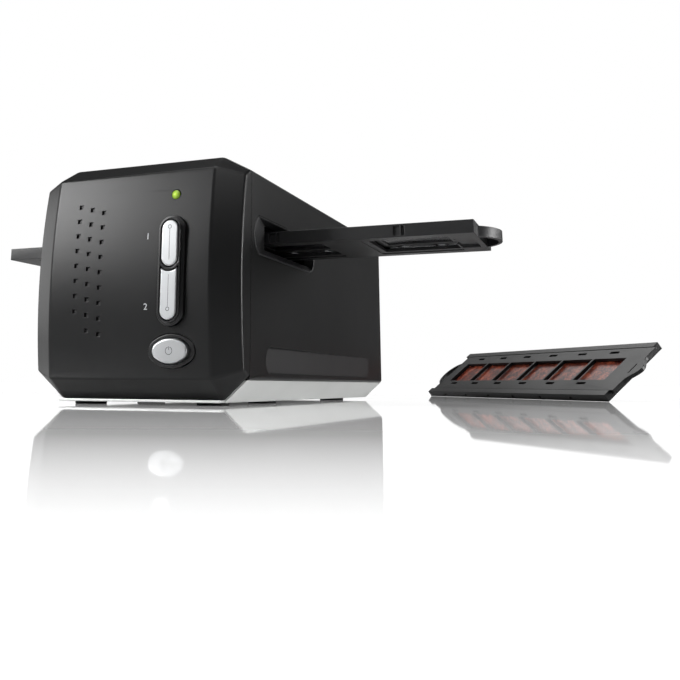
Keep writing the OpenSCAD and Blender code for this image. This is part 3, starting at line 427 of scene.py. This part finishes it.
wire(film,
     (film_coord, "Object", film_lean, "Vector"),
     (film_lean, "Vector", film_patch, "Vector"),
     (film_lean, "Vector", film_speck, "Vector"),
     (film_patch, "Fac", film_both, "A"),
     (film_speck, "Fac", film_both, "B"),
     (film_both, "Result", film_ramp, "Fac"),
     (film_ramp, "Color", film.nodes["Principled BSDF"], "Base Color"))
film_dark = finish("film_dark", (0.010, 0.009, 0.012), (0.2, 0.3), drift=0.5,
                   height=0.0, specular=0.4)

# %% [markdown]
# ## The front bezel
#
# The front is one moulding: a face that bows gently outwards, sloped bands on all four
# sides and an eight-sided rim that meets the case. The outer form is flat facets, so
# it is made as the hull of its corner rings. Its creases are then rounded by about a
# millimetre, its back is opened, and Solidify gives it its wall.

# %% Bezel sizes
front_low, front_high = node_size("front_bezel")
front_y, seam_y = front_low.y, front_high.y
body_half = front_high.x
rim_low, body_top = front_low.z, front_high.z
face_half, face_low, face_high, crown = 44.8, 12.4, 113.7, 3.9
rim_half, rim_foot_half, rim_roof_half = 58.0, 45.3, 43.3
rim_slope_low, rim_slope_high, rim_land = 11.6, 8.0, 1.4
cheek_back, cheek_rise = 7.4, 0.8
crease_r, wall = 1.1, 2.6


def bow(z, y, low, high, sag):
    """Distance in Y of a bowed line at height z, foremost at its middle."""
    half = (high - low) / 2
    radius = (half * half + sag * sag) / (2 * sag)
    return y + radius - math.sqrt(radius * radius - (z - (low + high) / 2) ** 2)


def rim_ring(y):
    """The eight corners of the rim at a place along Y."""
    xz = [(rim_foot_half, rim_low), (rim_half, rim_low + rim_slope_low),
          (rim_half, body_top - rim_slope_high), (rim_roof_half, body_top)]
    return [(s * x, y, z) for x, z in xz for s in (-1, 1)]


# %% Bezel form
steps = 28
cheek_y = front_y + cheek_back
cheek_low, cheek_high = face_low + crown, face_high - crown + cheek_rise
points = rim_ring(seam_y) + rim_ring(seam_y - rim_land)
for i in range(steps + 1):
    z = face_low + (face_high - face_low) * i / steps
    points += [(s * face_half, bow(z, front_y, face_low, face_high, crown), z) for s in (-1, 1)]
    z = cheek_low + (cheek_high - cheek_low) * i / steps
    points += [(s * body_half, bow(z, cheek_y, cheek_low, cheek_high, crown), z) for s in (-1, 1)]
bezel_mesh = bpy.data.meshes.new("bezel")
bezel_mesh.from_pydata([Vector(p) * MM for p in points], [], [])
bezel = bpy.data.objects.new("bezel", bezel_mesh)
bpy.context.scene.collection.objects.link(bezel)
pick(bezel, "verts", lambda v: True)
bpy.ops.mesh.convex_hull()
bpy.ops.mesh.select_all(action="SELECT")
bpy.ops.mesh.dissolve_limited(angle_limit=math.radians(0.4))
done()
creases = pick(bezel, "edges", lambda e: edge_angle(e) > 9 and middle(e).y < (seam_y - 0.2) * MM)
bpy.ops.mesh.bevel(offset=crease_r * MM, segments=4, profile=0.5, clamp_overlap=True)
done()
print("bezel creases rounded:", creases)

# %% Bezel wall
pick(bezel, "faces", lambda f: f.calc_center_median().y > (seam_y - 0.05) * MM and f.normal.y > 0.9)
bpy.ops.mesh.delete(type="FACE")
done()
shell = bezel.modifiers.new("wall", "SOLIDIFY")
shell.thickness = wall * MM
shell.offset = -1
shell.use_even_offset = True
apply_all(bezel)


# %% [markdown]
# Openings are cut with Boolean modifiers. Each cutter is a primitive placed on the
# opening's centre and shaped in edit mode: a round-ended slot is a cylinder whose
# upper half is moved up.

# %% Cutters
button_x = 24.7


def bar_y(name, centre, radius, y0, y1, upper=None, squash=1.0, facets=64):
    """A bar along Y: round, or round-ended when its upper half is moved to `upper`."""
    fresh()
    bpy.ops.mesh.primitive_cylinder_add(
        vertices=facets, radius=radius * MM, depth=(y1 - y0) * MM,
        location=(centre[0] * MM, (y0 + y1) / 2 * MM, centre[1] * MM),
        rotation=(math.radians(90), 0, 0))
    piece = bpy.context.object
    piece.name = name
    bpy.ops.object.transform_apply(location=True, rotation=True, scale=True)
    if squash != 1.0:
        for v in piece.data.vertices:
            v.co.z = centre[1] * MM + (v.co.z - centre[1] * MM) * squash
    if upper is not None:
        pick(piece, "verts", lambda v: v.co.z > centre[1] * MM + 1e-6)
        bpy.ops.transform.translate(value=(0, 0, (upper - centre[1]) * MM))
        done()
    return piece


def cut(piece, cutter):
    step = piece.modifiers.new("cut", "BOOLEAN")
    step.operation = "DIFFERENCE"
    step.solver = "EXACT"
    step.object = cutter
    apply_all(piece)
    bpy.data.objects.remove(cutter)


# %% Bezel openings
surround_low, surround_high = node_size("button_surround")
slot_r = (surround_high.x - surround_low.x) / 2
slot_z0, slot_z1 = surround_low.z + slot_r, surround_high.z - slot_r
ring_low, ring_high = node_size("power_ring")
power_z = (ring_low.z + ring_high.z) / 2
ring_a = (ring_high.x - ring_low.x) / 2
ring_b = (ring_high.z - ring_low.z) / 2
led_low, led_high = node_size("status_lens")
led_z = (led_low.z + led_high.z) / 2
led_r = (led_high.x - led_low.x) / 2
play, cutter_y = 0.1, front_y - 8
slot_cutter = bar_y("cutter", (button_x, slot_z0), slot_r + play, cutter_y, seam_y, upper=slot_z1)
cut(bezel, slot_cutter)
power_cutter = bar_y("cutter", (button_x, power_z), ring_a + play, cutter_y, seam_y,
                     squash=(ring_b + play) / (ring_a + play))
cut(bezel, power_cutter)
led_cutter = bar_y("cutter", (button_x, led_z), led_r + play, cutter_y, seam_y, facets=40)
cut(bezel, led_cutter)

# %% [markdown]
# Three columns of small square dimples mark the left of the face. Each cutter is a
# block that tapers, so a dimple's floor is a little smaller than its mouth, as a
# moulding tool leaves it. All the cutters are joined and cut at once.

# %% Dimples
dimple_counts, dimple_x, column_pitch, row_pitch = (8, 9, 9), -30.0, 7.0, 7.6
top_drop, column_drop = 15.4, 1.9
dimple_w, bite_long, bite_out, taper = 2.4, 3.0, 0.6, 0.84
dimple_cutters = []
for column, count in enumerate(dimple_counts):
    for row in range(count):
        x = dimple_x + column * column_pitch
        z = face_high - top_drop - column * column_drop - row * row_pitch
        y = bow(z, front_y, face_low, face_high, crown)
        fresh()
        bpy.ops.mesh.primitive_cube_add(
            size=1, location=(x * MM, (y - bite_out) * MM, z * MM),
            scale=(dimple_w * MM, bite_long * MM, dimple_w * MM))
        bpy.ops.object.transform_apply(location=True, rotation=True, scale=True)
        bite = bpy.context.object
        pick(bite, "faces", lambda f: f.normal.y > 0.9)
        bpy.ops.transform.resize(
            value=(taper, 1, taper), center_override=(x * MM, y * MM, z * MM))
        done()
        dimple_cutters.append(bite)
fresh(dimple_cutters[0])
for bite in dimple_cutters:
    bite.select_set(True)
bpy.ops.object.join()
cut(bezel, bpy.context.object)
pick(bezel, "faces", lambda f: True)
bpy.ops.mesh.quads_convert_to_tris(quad_method="BEAUTY", ngon_method="BEAUTY")
done()
round_edges(bezel, 0.18, angle=38, segments=2)
smooth(bezel, 30)
finish_piece(bezel, "front_bezel", "scanner", case_black)
print("bezel faces:", len(bezel.data.polygons))

# %% [markdown]
# ## The case, the base and the slot inserts
#
# The cover and the base already have their true outline, so they are copies of their
# solids. Their long edges get a wide rounding first, edge by edge, and everything else
# a small one.

# %% Cover and base
def long_edges(edge):
    """Edges that run along the case for most of its depth."""
    run = edge.verts[1].co - edge.verts[0].co
    return run.length > 0.18 and abs(run.y) > 0.99 * run.length and edge_angle(edge) > 12


def shell_piece(node, name, wide, small, material, rule=long_edges):
    piece = solid_copy(node, name)
    found = pick(piece, "edges", rule)
    bpy.ops.mesh.bevel(offset=wide * MM, segments=5, profile=0.5, clamp_overlap=True)
    done()
    round_edges(piece, small, angle=32, segments=2)
    keep_in_box(piece, node)
    smooth(piece, 30)
    print(name, "long edges rounded:", found)
    return finish_piece(piece, node, "scanner", material)


shell_piece("top_cover", "case_cover", 1.4, 0.25, case_black)
shell_piece("base_tray", "case_base", 1.0, 0.25, case_silver)
shell_piece("rear_panel", "case_rear", 0.5, 0.3, case_black, rule=lambda e: False)


# %% Rounded copies of smaller solids
def rounded(node, name, width, body, material, angle=32, segments=3):
    piece = solid_copy(node, name)
    round_edges(piece, width, angle, segments)
    keep_in_box(piece, node)
    smooth(piece, 32)
    return finish_piece(piece, node, body, material)


for side in ("right", "left"):
    rounded(f"slot_bezel_{side}", f"slot_insert_{side}", 0.35, "scanner", insert_black,
            angle=40)
    rounded(f"dust_flap_{side}", f"flap_{side}", 0.2, f"{side}_flap", case_black)
for place in ("front_right", "front_left", "middle_right", "middle_left",
              "rear_right", "rear_left"):
    rounded(f"foot_{place}", f"pad_{place}", 0.4, "scanner", rubber_black)

# %% [markdown]
# ## The grips
#
# A long shallow grip runs along each side, deepest at the front. A thin sheet with sloping walls
# lies in it, in a lighter black than the side round it: that lighter colour is painted light, for
# the light that the grip's sloped floor catches. The sheet starts as a flat round disc, standing in
# the plane of the side. One half of the disc is moved to the rear to make a long outline, and an
# inset gives the floor. The floor is made as high as the outline, so only the ends slope, and it is
# pushed in as deep as the grip is at that point. Solidify makes a sheet of it.

# %% Grip sheets of painted light
cover_low, cover_high = node_size("top_cover")
grip_r, grip_deep = 6.5, 1.8
grip_rise, grip_front_gap, grip_rear_gap = 3.3, 38.0, 30.0
grip_z = cover_low.z + grip_rise + grip_r
grip_y0, grip_y1 = front_y + grip_front_gap, cover_high.y - grip_rear_gap
grip_run = grip_y1 - grip_y0
painted_grip_play, painted_grip_slope, painted_grip_share, painted_grip_t = 0.1, 1.7, 0.98, 0.04
outline_in, floor_up, floor_in, floor_play = 0.01, 0.06, 0.03, 0.25
print("cover from", tuple(cover_low), "to", tuple(cover_high))


def painted_light_grip(side, name):
    fresh()
    start = (side * (body_half - outline_in) * MM, (grip_y0 + grip_r) * MM, grip_z * MM)
    bpy.ops.mesh.primitive_circle_add(
        vertices=64, radius=(grip_r - painted_grip_play) * MM, fill_type="NGON", location=start,
        rotation=(0, math.radians(90 * side), 0))
    bpy.ops.object.transform_apply(location=True, rotation=True, scale=True)
    piece = bpy.context.object
    piece.name = name
    pick(piece, "verts", lambda v: v.co.y > start[1] + 1e-6)
    bpy.ops.transform.translate(value=(0, (grip_run * painted_grip_share - 2 * grip_r) * MM, 0))
    done()
    pick(piece, "faces", lambda f: True)
    bpy.ops.mesh.inset(thickness=painted_grip_slope * MM, depth=0)
    done()
    floor_face = max(piece.data.polygons, key=lambda f: f.area)
    taller = (grip_r - floor_play) / (grip_r - painted_grip_play - painted_grip_slope)
    for i in floor_face.vertices:
        v = piece.data.vertices[i]
        left = 1 - (v.co.y / MM - grip_y0) / grip_run
        v.co.x = side * min(body_half - grip_deep * left + floor_up, body_half - floor_in) * MM
        v.co.z = (grip_z + (v.co.z / MM - grip_z) * taller) * MM
    sheet = piece.modifiers.new("sheet", "SOLIDIFY")
    sheet.thickness = painted_grip_t * MM
    sheet.offset = -1
    apply_all(piece)
    smooth(piece, 50)
    # The lighter black of the sheet is painted light.
    return finish_piece(piece, None, "scanner", insert_black)


for side, name in ((1, "grip_right"), (-1, "grip_left")):
    painted_grip = painted_light_grip(side, name)
    print(name, "faces:", len(painted_grip.data.polygons))

# %% [markdown]
# ## The buttons
#
# Two long scan buttons sit in one raised black frame, and the oval power button in a ring of its
# own. The caps are satin metal with a soft edge, so the edge catches a bright line. The fine groove
# along each scan button, with a small ring at its end, is not cut: it is a dark mark of painted
# shade, for the shade inside the groove. It stands a fiftieth of a millimetre proud, so that it
# shows.

# %% Buttons
rounded("button_surround", "button_frame", 0.5, "scanner", trim_black, angle=40)
rounded("power_ring", "power_frame", 0.5, "scanner", trim_black, angle=40)


def cap(node, name, width, body):
    """A button cap: its flat faces are made whole, and the rim of the front is rounded."""
    piece = solid_copy(node, name)
    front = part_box(node)[0].y
    pick(piece, "verts", lambda v: True)
    bpy.ops.mesh.dissolve_limited(angle_limit=math.radians(1))
    done()
    pick(piece, "edges", lambda e: edge_angle(e) > 40 and middle(e).y < front + 1e-5)
    bpy.ops.mesh.bevel(offset=width * MM, segments=5, profile=0.6, clamp_overlap=False)
    done()
    smooth(piece, 40)
    return finish_piece(piece, node, body, button_silver)


cap("button_upper", "cap_upper", 0.7, "upper_key")
cap("button_lower", "cap_lower", 0.7, "lower_key")
cap("power_button", "cap_power", 1.1, "power_key")


# %% Grooves drawn as painted shade
mark_proud, mark_sunk = 0.02, 0.05


def ring_mark(name, centre, y, outer, inner):
    """A flat ring on the plane at y: a thin disc with a bore cut through it."""
    disc = bar_y(name, centre, outer, y - mark_proud, y + mark_proud, facets=40)
    cut(disc, bar_y("cutter", centre, inner, y - 2, y + 2, facets=40))
    return disc


def strip_mark(name, low, high):
    fresh()
    centre = [(a + b) / 2 * MM for a, b in zip(low, high)]
    size = [(b - a) * MM for a, b in zip(low, high)]
    bpy.ops.mesh.primitive_cube_add(size=1, location=centre, scale=size)
    bpy.ops.object.transform_apply(location=True, rotation=True, scale=True)
    piece = bpy.context.object
    piece.name = name
    round_edges(piece, 0.03, segments=2)
    return piece


def join(name, pieces):
    fresh(pieces[0])
    for piece in pieces:
        piece.select_set(True)
    bpy.ops.object.join()
    joined = bpy.context.object
    joined.name = name
    return joined


cap_y = node_size("button_upper")[0].y
line_half, dot_outer, dot_inner = 0.11, 1.0, 0.72
for key, dot_z, z0, z1 in (("upper", 84.0, 68.0, 82.9), ("lower", 44.6, 45.7, 61.0)):
    line = strip_mark("line", (button_x - line_half, cap_y - mark_proud, z0),
                      (button_x + line_half, cap_y + mark_sunk, z1))
    dot = ring_mark("dot", (button_x, dot_z), cap_y, dot_outer, dot_inner)
    mark = join(f"groove_{key}", [line, dot])
    smooth(mark)
    # The dark mark is painted shade for the groove.
    finish_piece(mark, None, f"{key}_key", sign_and_groove_shade)

# %% [markdown]
# The power sign is the usual one: a ring that is open at the top, with a short bar in
# the opening.

# %% Power sign
power_y = node_size("power_button")[0].y
sign_outer, sign_inner, gap_half, bar_half = 1.9, 1.6, 0.55, 0.15
sign_ring = ring_mark("ring", (button_x, power_z), power_y, sign_outer, sign_inner)
gap = strip_mark("gap", (button_x - gap_half, power_y - 1, power_z + 0.9),
                 (button_x + gap_half, power_y + 1, power_z + 2.6))
cut(sign_ring, gap)
sign_bar = strip_mark("bar", (button_x - bar_half, power_y - mark_proud, power_z + 0.4),
                      (button_x + bar_half, power_y + mark_sunk, power_z + 2.1))
sign = join("power_sign", [sign_ring, sign_bar])
smooth(sign)
finish_piece(sign, None, "power_key", sign_and_groove_shade)

# %% [markdown]
# The two scan buttons are numbered in small light print on the face beside them. Text
# is turned into a mesh and stood upright. Each of its points is then moved by as much
# as the bowed face lies back at that height, so the print follows the face.

# %% Numbers beside the buttons
def printed(word, x, z, height):
    fresh()
    bpy.ops.object.text_add(location=(0, 0, 0), rotation=(math.radians(90), 0, 0))
    text = bpy.context.object
    text.data.body = word
    text.data.size = height * MM
    text.data.extrude = 0.03 * MM
    text.data.align_x = "CENTER"
    bpy.ops.object.convert(target="MESH")
    text.location = (x * MM, 0, z * MM)
    bpy.ops.object.transform_apply(location=True, rotation=True, scale=True)
    for v in text.data.vertices:
        v.co.y += (bow(v.co.z / MM, front_y, face_low, face_high, crown) - 0.02) * MM
    text.name = "number_" + word
    return finish_piece(text, None, "scanner", print_white)


number_x, number_height = 10.6, 4.4
printed("1", number_x, 79.2, number_height)
printed("2", number_x, 44.9, number_height)

# %% [markdown]
# ## The two holders
#
# Both holders are thin black mouldings with many small edges, so they are rounded copies of their
# solids with a finer edge than the case. The strip holder is the same plastic and a little
# smoother; its darker copy of the black is painted shade.

# %% Holders
for node, name, width, body, material, slot, segments in (
        ("slide_tray", "slide_holder_frame", 0.25, "slide_holder", holder_black, "holder_black", 2),
        ("slide_springs", "slide_holder_springs", 0.12, "slide_holder", steel, "steel", 2),
        ("strip_base", "strip_holder_base", 0.22, "strip_holder", shaded_holder_black, "holder_black", 2),
        ("strip_cover", "strip_holder_cover", 0.22, "strip_lid", shaded_holder_black, "holder_black", 2),
        ("strip_film", "film_strip", 0.05, "strip_holder", film_brown, "film_brown", 1)):
    rounded(node, name, width, body, material, angle=40, segments=segments)

# %% [markdown]
# ## The slides
#
# Each bay of the long holder carries a mounted slide: a thin black frame, 50 mm square,
# with a dark transparency in its opening. The frame is a cube whose corners are rounded
# and whose opening is cut. The film is a plane that bows a little, as real film does in
# its mount. One slide is modelled and the others are copies, each with its own mesh.

# %% Slides
mount_w, mount_t, mount_corner = 50.0, 1.6, 2.0
window_w, window_h = 34.8, 23.2
film_w, film_h, film_bow, film_t = 35.4, 23.8, 0.35, 0.14
spring_w, slide_rise = 37.0, 0.65
spring_low, spring_high = node_size("slide_springs")
slide_z = spring_low.z + slide_rise
slide_y = (spring_low.y + spring_high.y) / 2
slide_pitch = (spring_high.x - spring_low.x - spring_w) / 3
slide_x = spring_low.x + spring_w / 2
slide_middle = (slide_x, slide_y, slide_z + mount_t / 2)
print("slides every", slide_pitch, "mm, from x", slide_x)


def block(name, centre, size):
    fresh()
    bpy.ops.mesh.primitive_cube_add(
        size=1, location=[c * MM for c in centre], scale=[w * MM for w in size])
    bpy.ops.object.transform_apply(location=True, rotation=True, scale=True)
    bpy.context.object.name = name
    return bpy.context.object


mount = block("mount", slide_middle, (mount_w, mount_w, mount_t))
pick(mount, "edges", lambda e: abs(e.verts[0].co.z - e.verts[1].co.z) > 1e-4)
bpy.ops.mesh.bevel(offset=mount_corner * MM, segments=5, clamp_overlap=True)
done()
cut(mount, block("opening", slide_middle, (window_w, window_h, 4)))
round_edges(mount, 0.2, angle=40, segments=2)
smooth(mount, 40)

fresh()
bpy.ops.mesh.primitive_grid_add(
    x_subdivisions=12, y_subdivisions=8, size=1,
    location=[c * MM for c in slide_middle])
picture = bpy.context.object
picture.scale = (film_w * MM, film_h * MM, 1)
bpy.ops.object.transform_apply(location=True, rotation=True, scale=True)
picture.name = "picture"
for v in picture.data.vertices:
    across = (v.co.x / MM - slide_x) / (film_w / 2)
    v.co.z += film_bow * (1 - across * across) * MM
sheet = picture.modifiers.new("sheet", "SOLIDIFY")
sheet.thickness = film_t * MM
apply_all(picture)
smooth(picture, 40)

for bay in range(4):
    for source, name, material, slot in ((mount, "slide_mount", holder_black, "holder_black"),
                                         (picture, "slide_film", film_dark, "film_brown")):
        piece = bpy.data.objects.new(f"{name}_{bay + 1}", source.data.copy())
        bpy.context.scene.collection.objects.link(piece)
        piece.data.transform(Matrix.Translation((bay * slide_pitch * MM, 0, 0)))
        finish_piece(piece, None, "slide_holder", material)
for source in (mount, picture):
    bpy.data.objects.remove(source)

# %% [markdown]
# ## The ring of the status light
#
# A small near-black ring round the status light is painted shade: it stands for the shade in the
# hole that the light sits in. It is a torus turned to face the front, pressed flat to a third of
# its depth, with a Subdivision Surface for a round edge.

# %% Ring of painted shade
ring_gap, ring_tube, ring_flat, ring_back = 0.15, 0.42, 0.33, 0.02
ring_y = bow(led_z, front_y, face_low, face_high, crown) + ring_back
fresh()
bpy.ops.mesh.primitive_torus_add(
    major_radius=(led_r + ring_gap) * MM, minor_radius=ring_tube * MM,
    major_segments=40, minor_segments=8, rotation=(math.pi / 2, 0, 0))
shade_ring = bpy.context.object
shade_ring.name = "shade_ring"
shade_ring.location = (button_x * MM, ring_y * MM, led_z * MM)
shade_ring.scale = (1, 1, ring_flat)
bpy.ops.object.transform_apply(location=True, rotation=True, scale=True)
soft = shade_ring.modifiers.new("soft", "SUBSURF")
soft.levels = soft.render_levels = 1
apply_all(shade_ring)
smooth(shade_ring, 60)
finish_piece(shade_ring, None, "scanner", shade_ring_black)
print("light ring at", ring_y, "faces:", len(shade_ring.data.polygons))

# %% [markdown]
# ## The other solids
#
# The works inside the case keep the shape of their solids. Each one gets its own
# finish: drawn steel on rods and screws, bronze on bushes and the nut, lacquered green
# on boards, glass and a mirror on the optics.

# %% Materials of the remaining solids
finishes = (
    (case_black, ["film_gate", "lamp_housing", "rod_block_front", "rod_block_rear",
                  "carriage_frame"]),
    (trim_black, ["image_sensor", "lens_barrel", "switch_upper", "switch_lower",
                  "switch_power", "dc_socket"]),
    (steel, ["flap_pin_right", "flap_pin_left", "detent_spring", "guide_rod_right",
             "guide_rod_left", "drive_motor", "lead_screw", "case_screws", "strip_pin",
             "usb_socket"]),
    (bronze, ["drive_nut", "rod_bush_right", "rod_bush_left"]),
    (board, ["lamp_board", "main_board", "button_board", "sensor_board"]),
    (cable, ["lamp_ribbon", "button_ribbon"]),
    (diffuser_white, ["lamp_diffuser"]),
    (light_pipe, ["status_lens"]),
    (mirror_glass, ["carriage_mirror"]),
    (lens_glass, ["lens_glass"]),
)
for material, names in finishes:
    for name in names:
        nodes[name].data.materials.clear()
        nodes[name].data.materials.append(material)
smooth(nodes["status_lens"], 40)

# %% [markdown]
# ## Floor, background and light
#
# The scanner stands on a white polished table. Its polish is strongest round the scanner
# and dies away about 35 to 47 cm from the scanner's middle, the same on every side, so
# the distance sets how much of the floor is mirror. A Fresnel node makes the mirror
# stronger at a low angle, as on real lacquer. The table shows as white: a little plain
# emission is added for rays that come from the camera, which leaves the light on the
# scanner as it is and keeps its shadow. Far away the emission grows, so the table meets
# the background without a line.

# %% Floor
polish_end, polish_full, polish_bend, polish_most = 0.471, 0.351, 0.42, 0.97
lift_start, lift_end, lift_near, lift_far = 0.3, 1.0, 0.45, 1.0
fresh()
bpy.ops.mesh.primitive_plane_add(size=30, location=(0, 0, 0))
floor = bpy.context.object
floor.name = "floor"
floor_material = bpy.data.materials.new("white_table")
floor_material.use_nodes = True
table = floor_material.node_tree
table.nodes.clear()
floor_out = put(table, "OutputMaterial")
floor_body = put(table, "BsdfDiffuse", {"Color": (0.86, 0.86, 0.86, 1)})
floor_gloss = put(table, "BsdfGlossy", {"Color": (1, 1, 1, 1), "Roughness": 0.03})
floor_mirror = put(table, "Fresnel", {"IOR": 1.45})
floor_place = put(table, "TexCoord")
floor_away = put(table, "VectorMath", operation="LENGTH")
floor_fade = put(table, "MapRange", {"From Min": polish_end, "From Max": polish_full})
floor_soft = put(table, "Math", {1: polish_bend}, operation="POWER")
floor_part = put(table, "Math", {1: polish_most}, operation="MULTIPLY")
floor_share = put(table, "Math", operation="MULTIPLY")
floor_mix = put(table, "MixShader")
floor_rays = put(table, "LightPath")
floor_white = put(table, "Emission")
floor_far = put(table, "MapRange", {"From Min": lift_start, "From Max": lift_end,
                                    "To Min": lift_near, "To Max": lift_far},
                interpolation_type="SMOOTHSTEP")
floor_lift = put(table, "Math", operation="MULTIPLY")
floor_sum = put(table, "AddShader")
wire(table,
     (floor_place, "Object", floor_away, 0),
     (floor_away, "Value", floor_fade, "Value"),
     (floor_fade, "Result", floor_soft, 0),
     (floor_soft, "Value", floor_part, 0),
     (floor_part, "Value", floor_share, 0),
     (floor_mirror, "Fac", floor_share, 1),
     (floor_share, "Value", floor_mix, "Fac"),
     (floor_away, "Value", floor_far, "Value"),
     (floor_rays, "Is Camera Ray", floor_lift, 0),
     (floor_far, "Result", floor_lift, 1),
     (floor_lift, "Value", floor_white, "Strength"),
     (floor_body, "BSDF", floor_sum, 0),
     (floor_white, "Emission", floor_sum, 1),
     (floor_sum, "Shader", floor_mix, 1),
     (floor_gloss, "BSDF", floor_mix, 2),
     (floor_mix, "Shader", floor_out, "Surface"))
floor.data.materials.append(floor_material)

# %% [markdown]
# The background shows as white to the camera and through glass. The scanner itself is
# lit by it only dimly, so that the lamps give the light. In reflections it is white
# only in one direction, behind the scanner, as from a white backdrop that hangs there.

# %% World
dim, backdrop_way, backdrop_edge, backdrop_full = 0.08, (-0.31, 0.95, 0.0), 0.905, 0.93
world = bpy.data.worlds.new("studio")
bpy.context.scene.world = world
world.use_nodes = True
sky = world.node_tree
sky.nodes.clear()
sky_out = put(sky, "OutputWorld")
sky_light = put(sky, "Background", {"Color": (1, 1, 1, 1), "Strength": dim})
sky_white = put(sky, "Background", {"Color": (1, 1, 1, 1), "Strength": 1.0})
rays = put(sky, "LightPath")
shown = put(sky, "Math", operation="MAXIMUM")
sheen = put(sky, "Math", operation="MULTIPLY_ADD")
around = put(sky, "TexCoord")
behind = put(sky, "VectorMath", {1: backdrop_way}, operation="DOT_PRODUCT")
backdrop = put(sky, "MapRange", {"From Min": backdrop_edge, "From Max": backdrop_full},
               interpolation_type="SMOOTHSTEP")
sky_mix = put(sky, "MixShader")
wire(sky,
     (around, "Generated", behind, 0),
     (behind, "Value", backdrop, "Value"),
     (rays, "Is Glossy Ray", sheen, 0),
     (backdrop, "Result", sheen, 1),
     (rays, "Is Camera Ray", shown, 0),
     (rays, "Is Transmission Ray", shown, 1),
     (shown, "Value", sheen, 2),
     (sheen, "Value", sky_mix, "Fac"),
     (sky_light, "Background", sky_mix, 1),
     (sky_white, "Background", sky_mix, 2),
     (sky_mix, "Shader", sky_out, "Surface"))

# %% [markdown]
# One large lamp overhead gives the even light of a studio. Six smaller ones stand round
# the scanner, with narrow beams, so that each side and each sloped edge has its own
# weak light and reads apart from the next.

# %% Lamps
def soft_lamp(name, place, target, size, power, spread=180):
    lamp = bpy.data.lights.new(name, "AREA")
    lamp.spread = math.radians(spread)
    lamp.shape = "RECTANGLE"
    lamp.size, lamp.size_y = size
    lamp.energy = power
    holder = bpy.data.objects.new(name, lamp)
    bpy.context.scene.collection.objects.link(holder)
    holder.location = place
    aim = Vector(target) - Vector(place)
    holder.rotation_euler = aim.to_track_quat("-Z", "Y").to_euler()
    return holder


soft_lamp("overhead", (-0.1, -0.35, 1.45), (0.05, 0.05, 0), (1.2, 1.2), 8.4)
soft_lamp("key_left", (-0.84, -0.91, 0.52), (-0.03, -0.13, 0.09), (0.50, 0.50), 1.6, 60)
soft_lamp("fill_right", (0.53, -0.99, 0.93), (0, -0.05, 0.06), (0.4, 0.4), 0.35, 60)
soft_lamp("low_right", (1.3, 0.3, 0.25), (0, -0.05, 0.06), (0.4, 0.3), 1.0, 60)
soft_lamp("rear_right", (0.98, 0.85, 0.55), (0.06, -0.05, 0.08), (0.4, 0.4), 0.35, 60)
soft_lamp("left", (-1.30, 0.05, 0.26), (-0.03, -0.10, 0.06), (0.5, 0.5), 0.2, 60)
soft_lamp("rear", (-0.22, 1.32, 1.02), (0.10, 0.25, 0.03), (0.8, 0.5), 0.4, 60)

bpy.context.scene.view_settings.view_transform = "Standard"
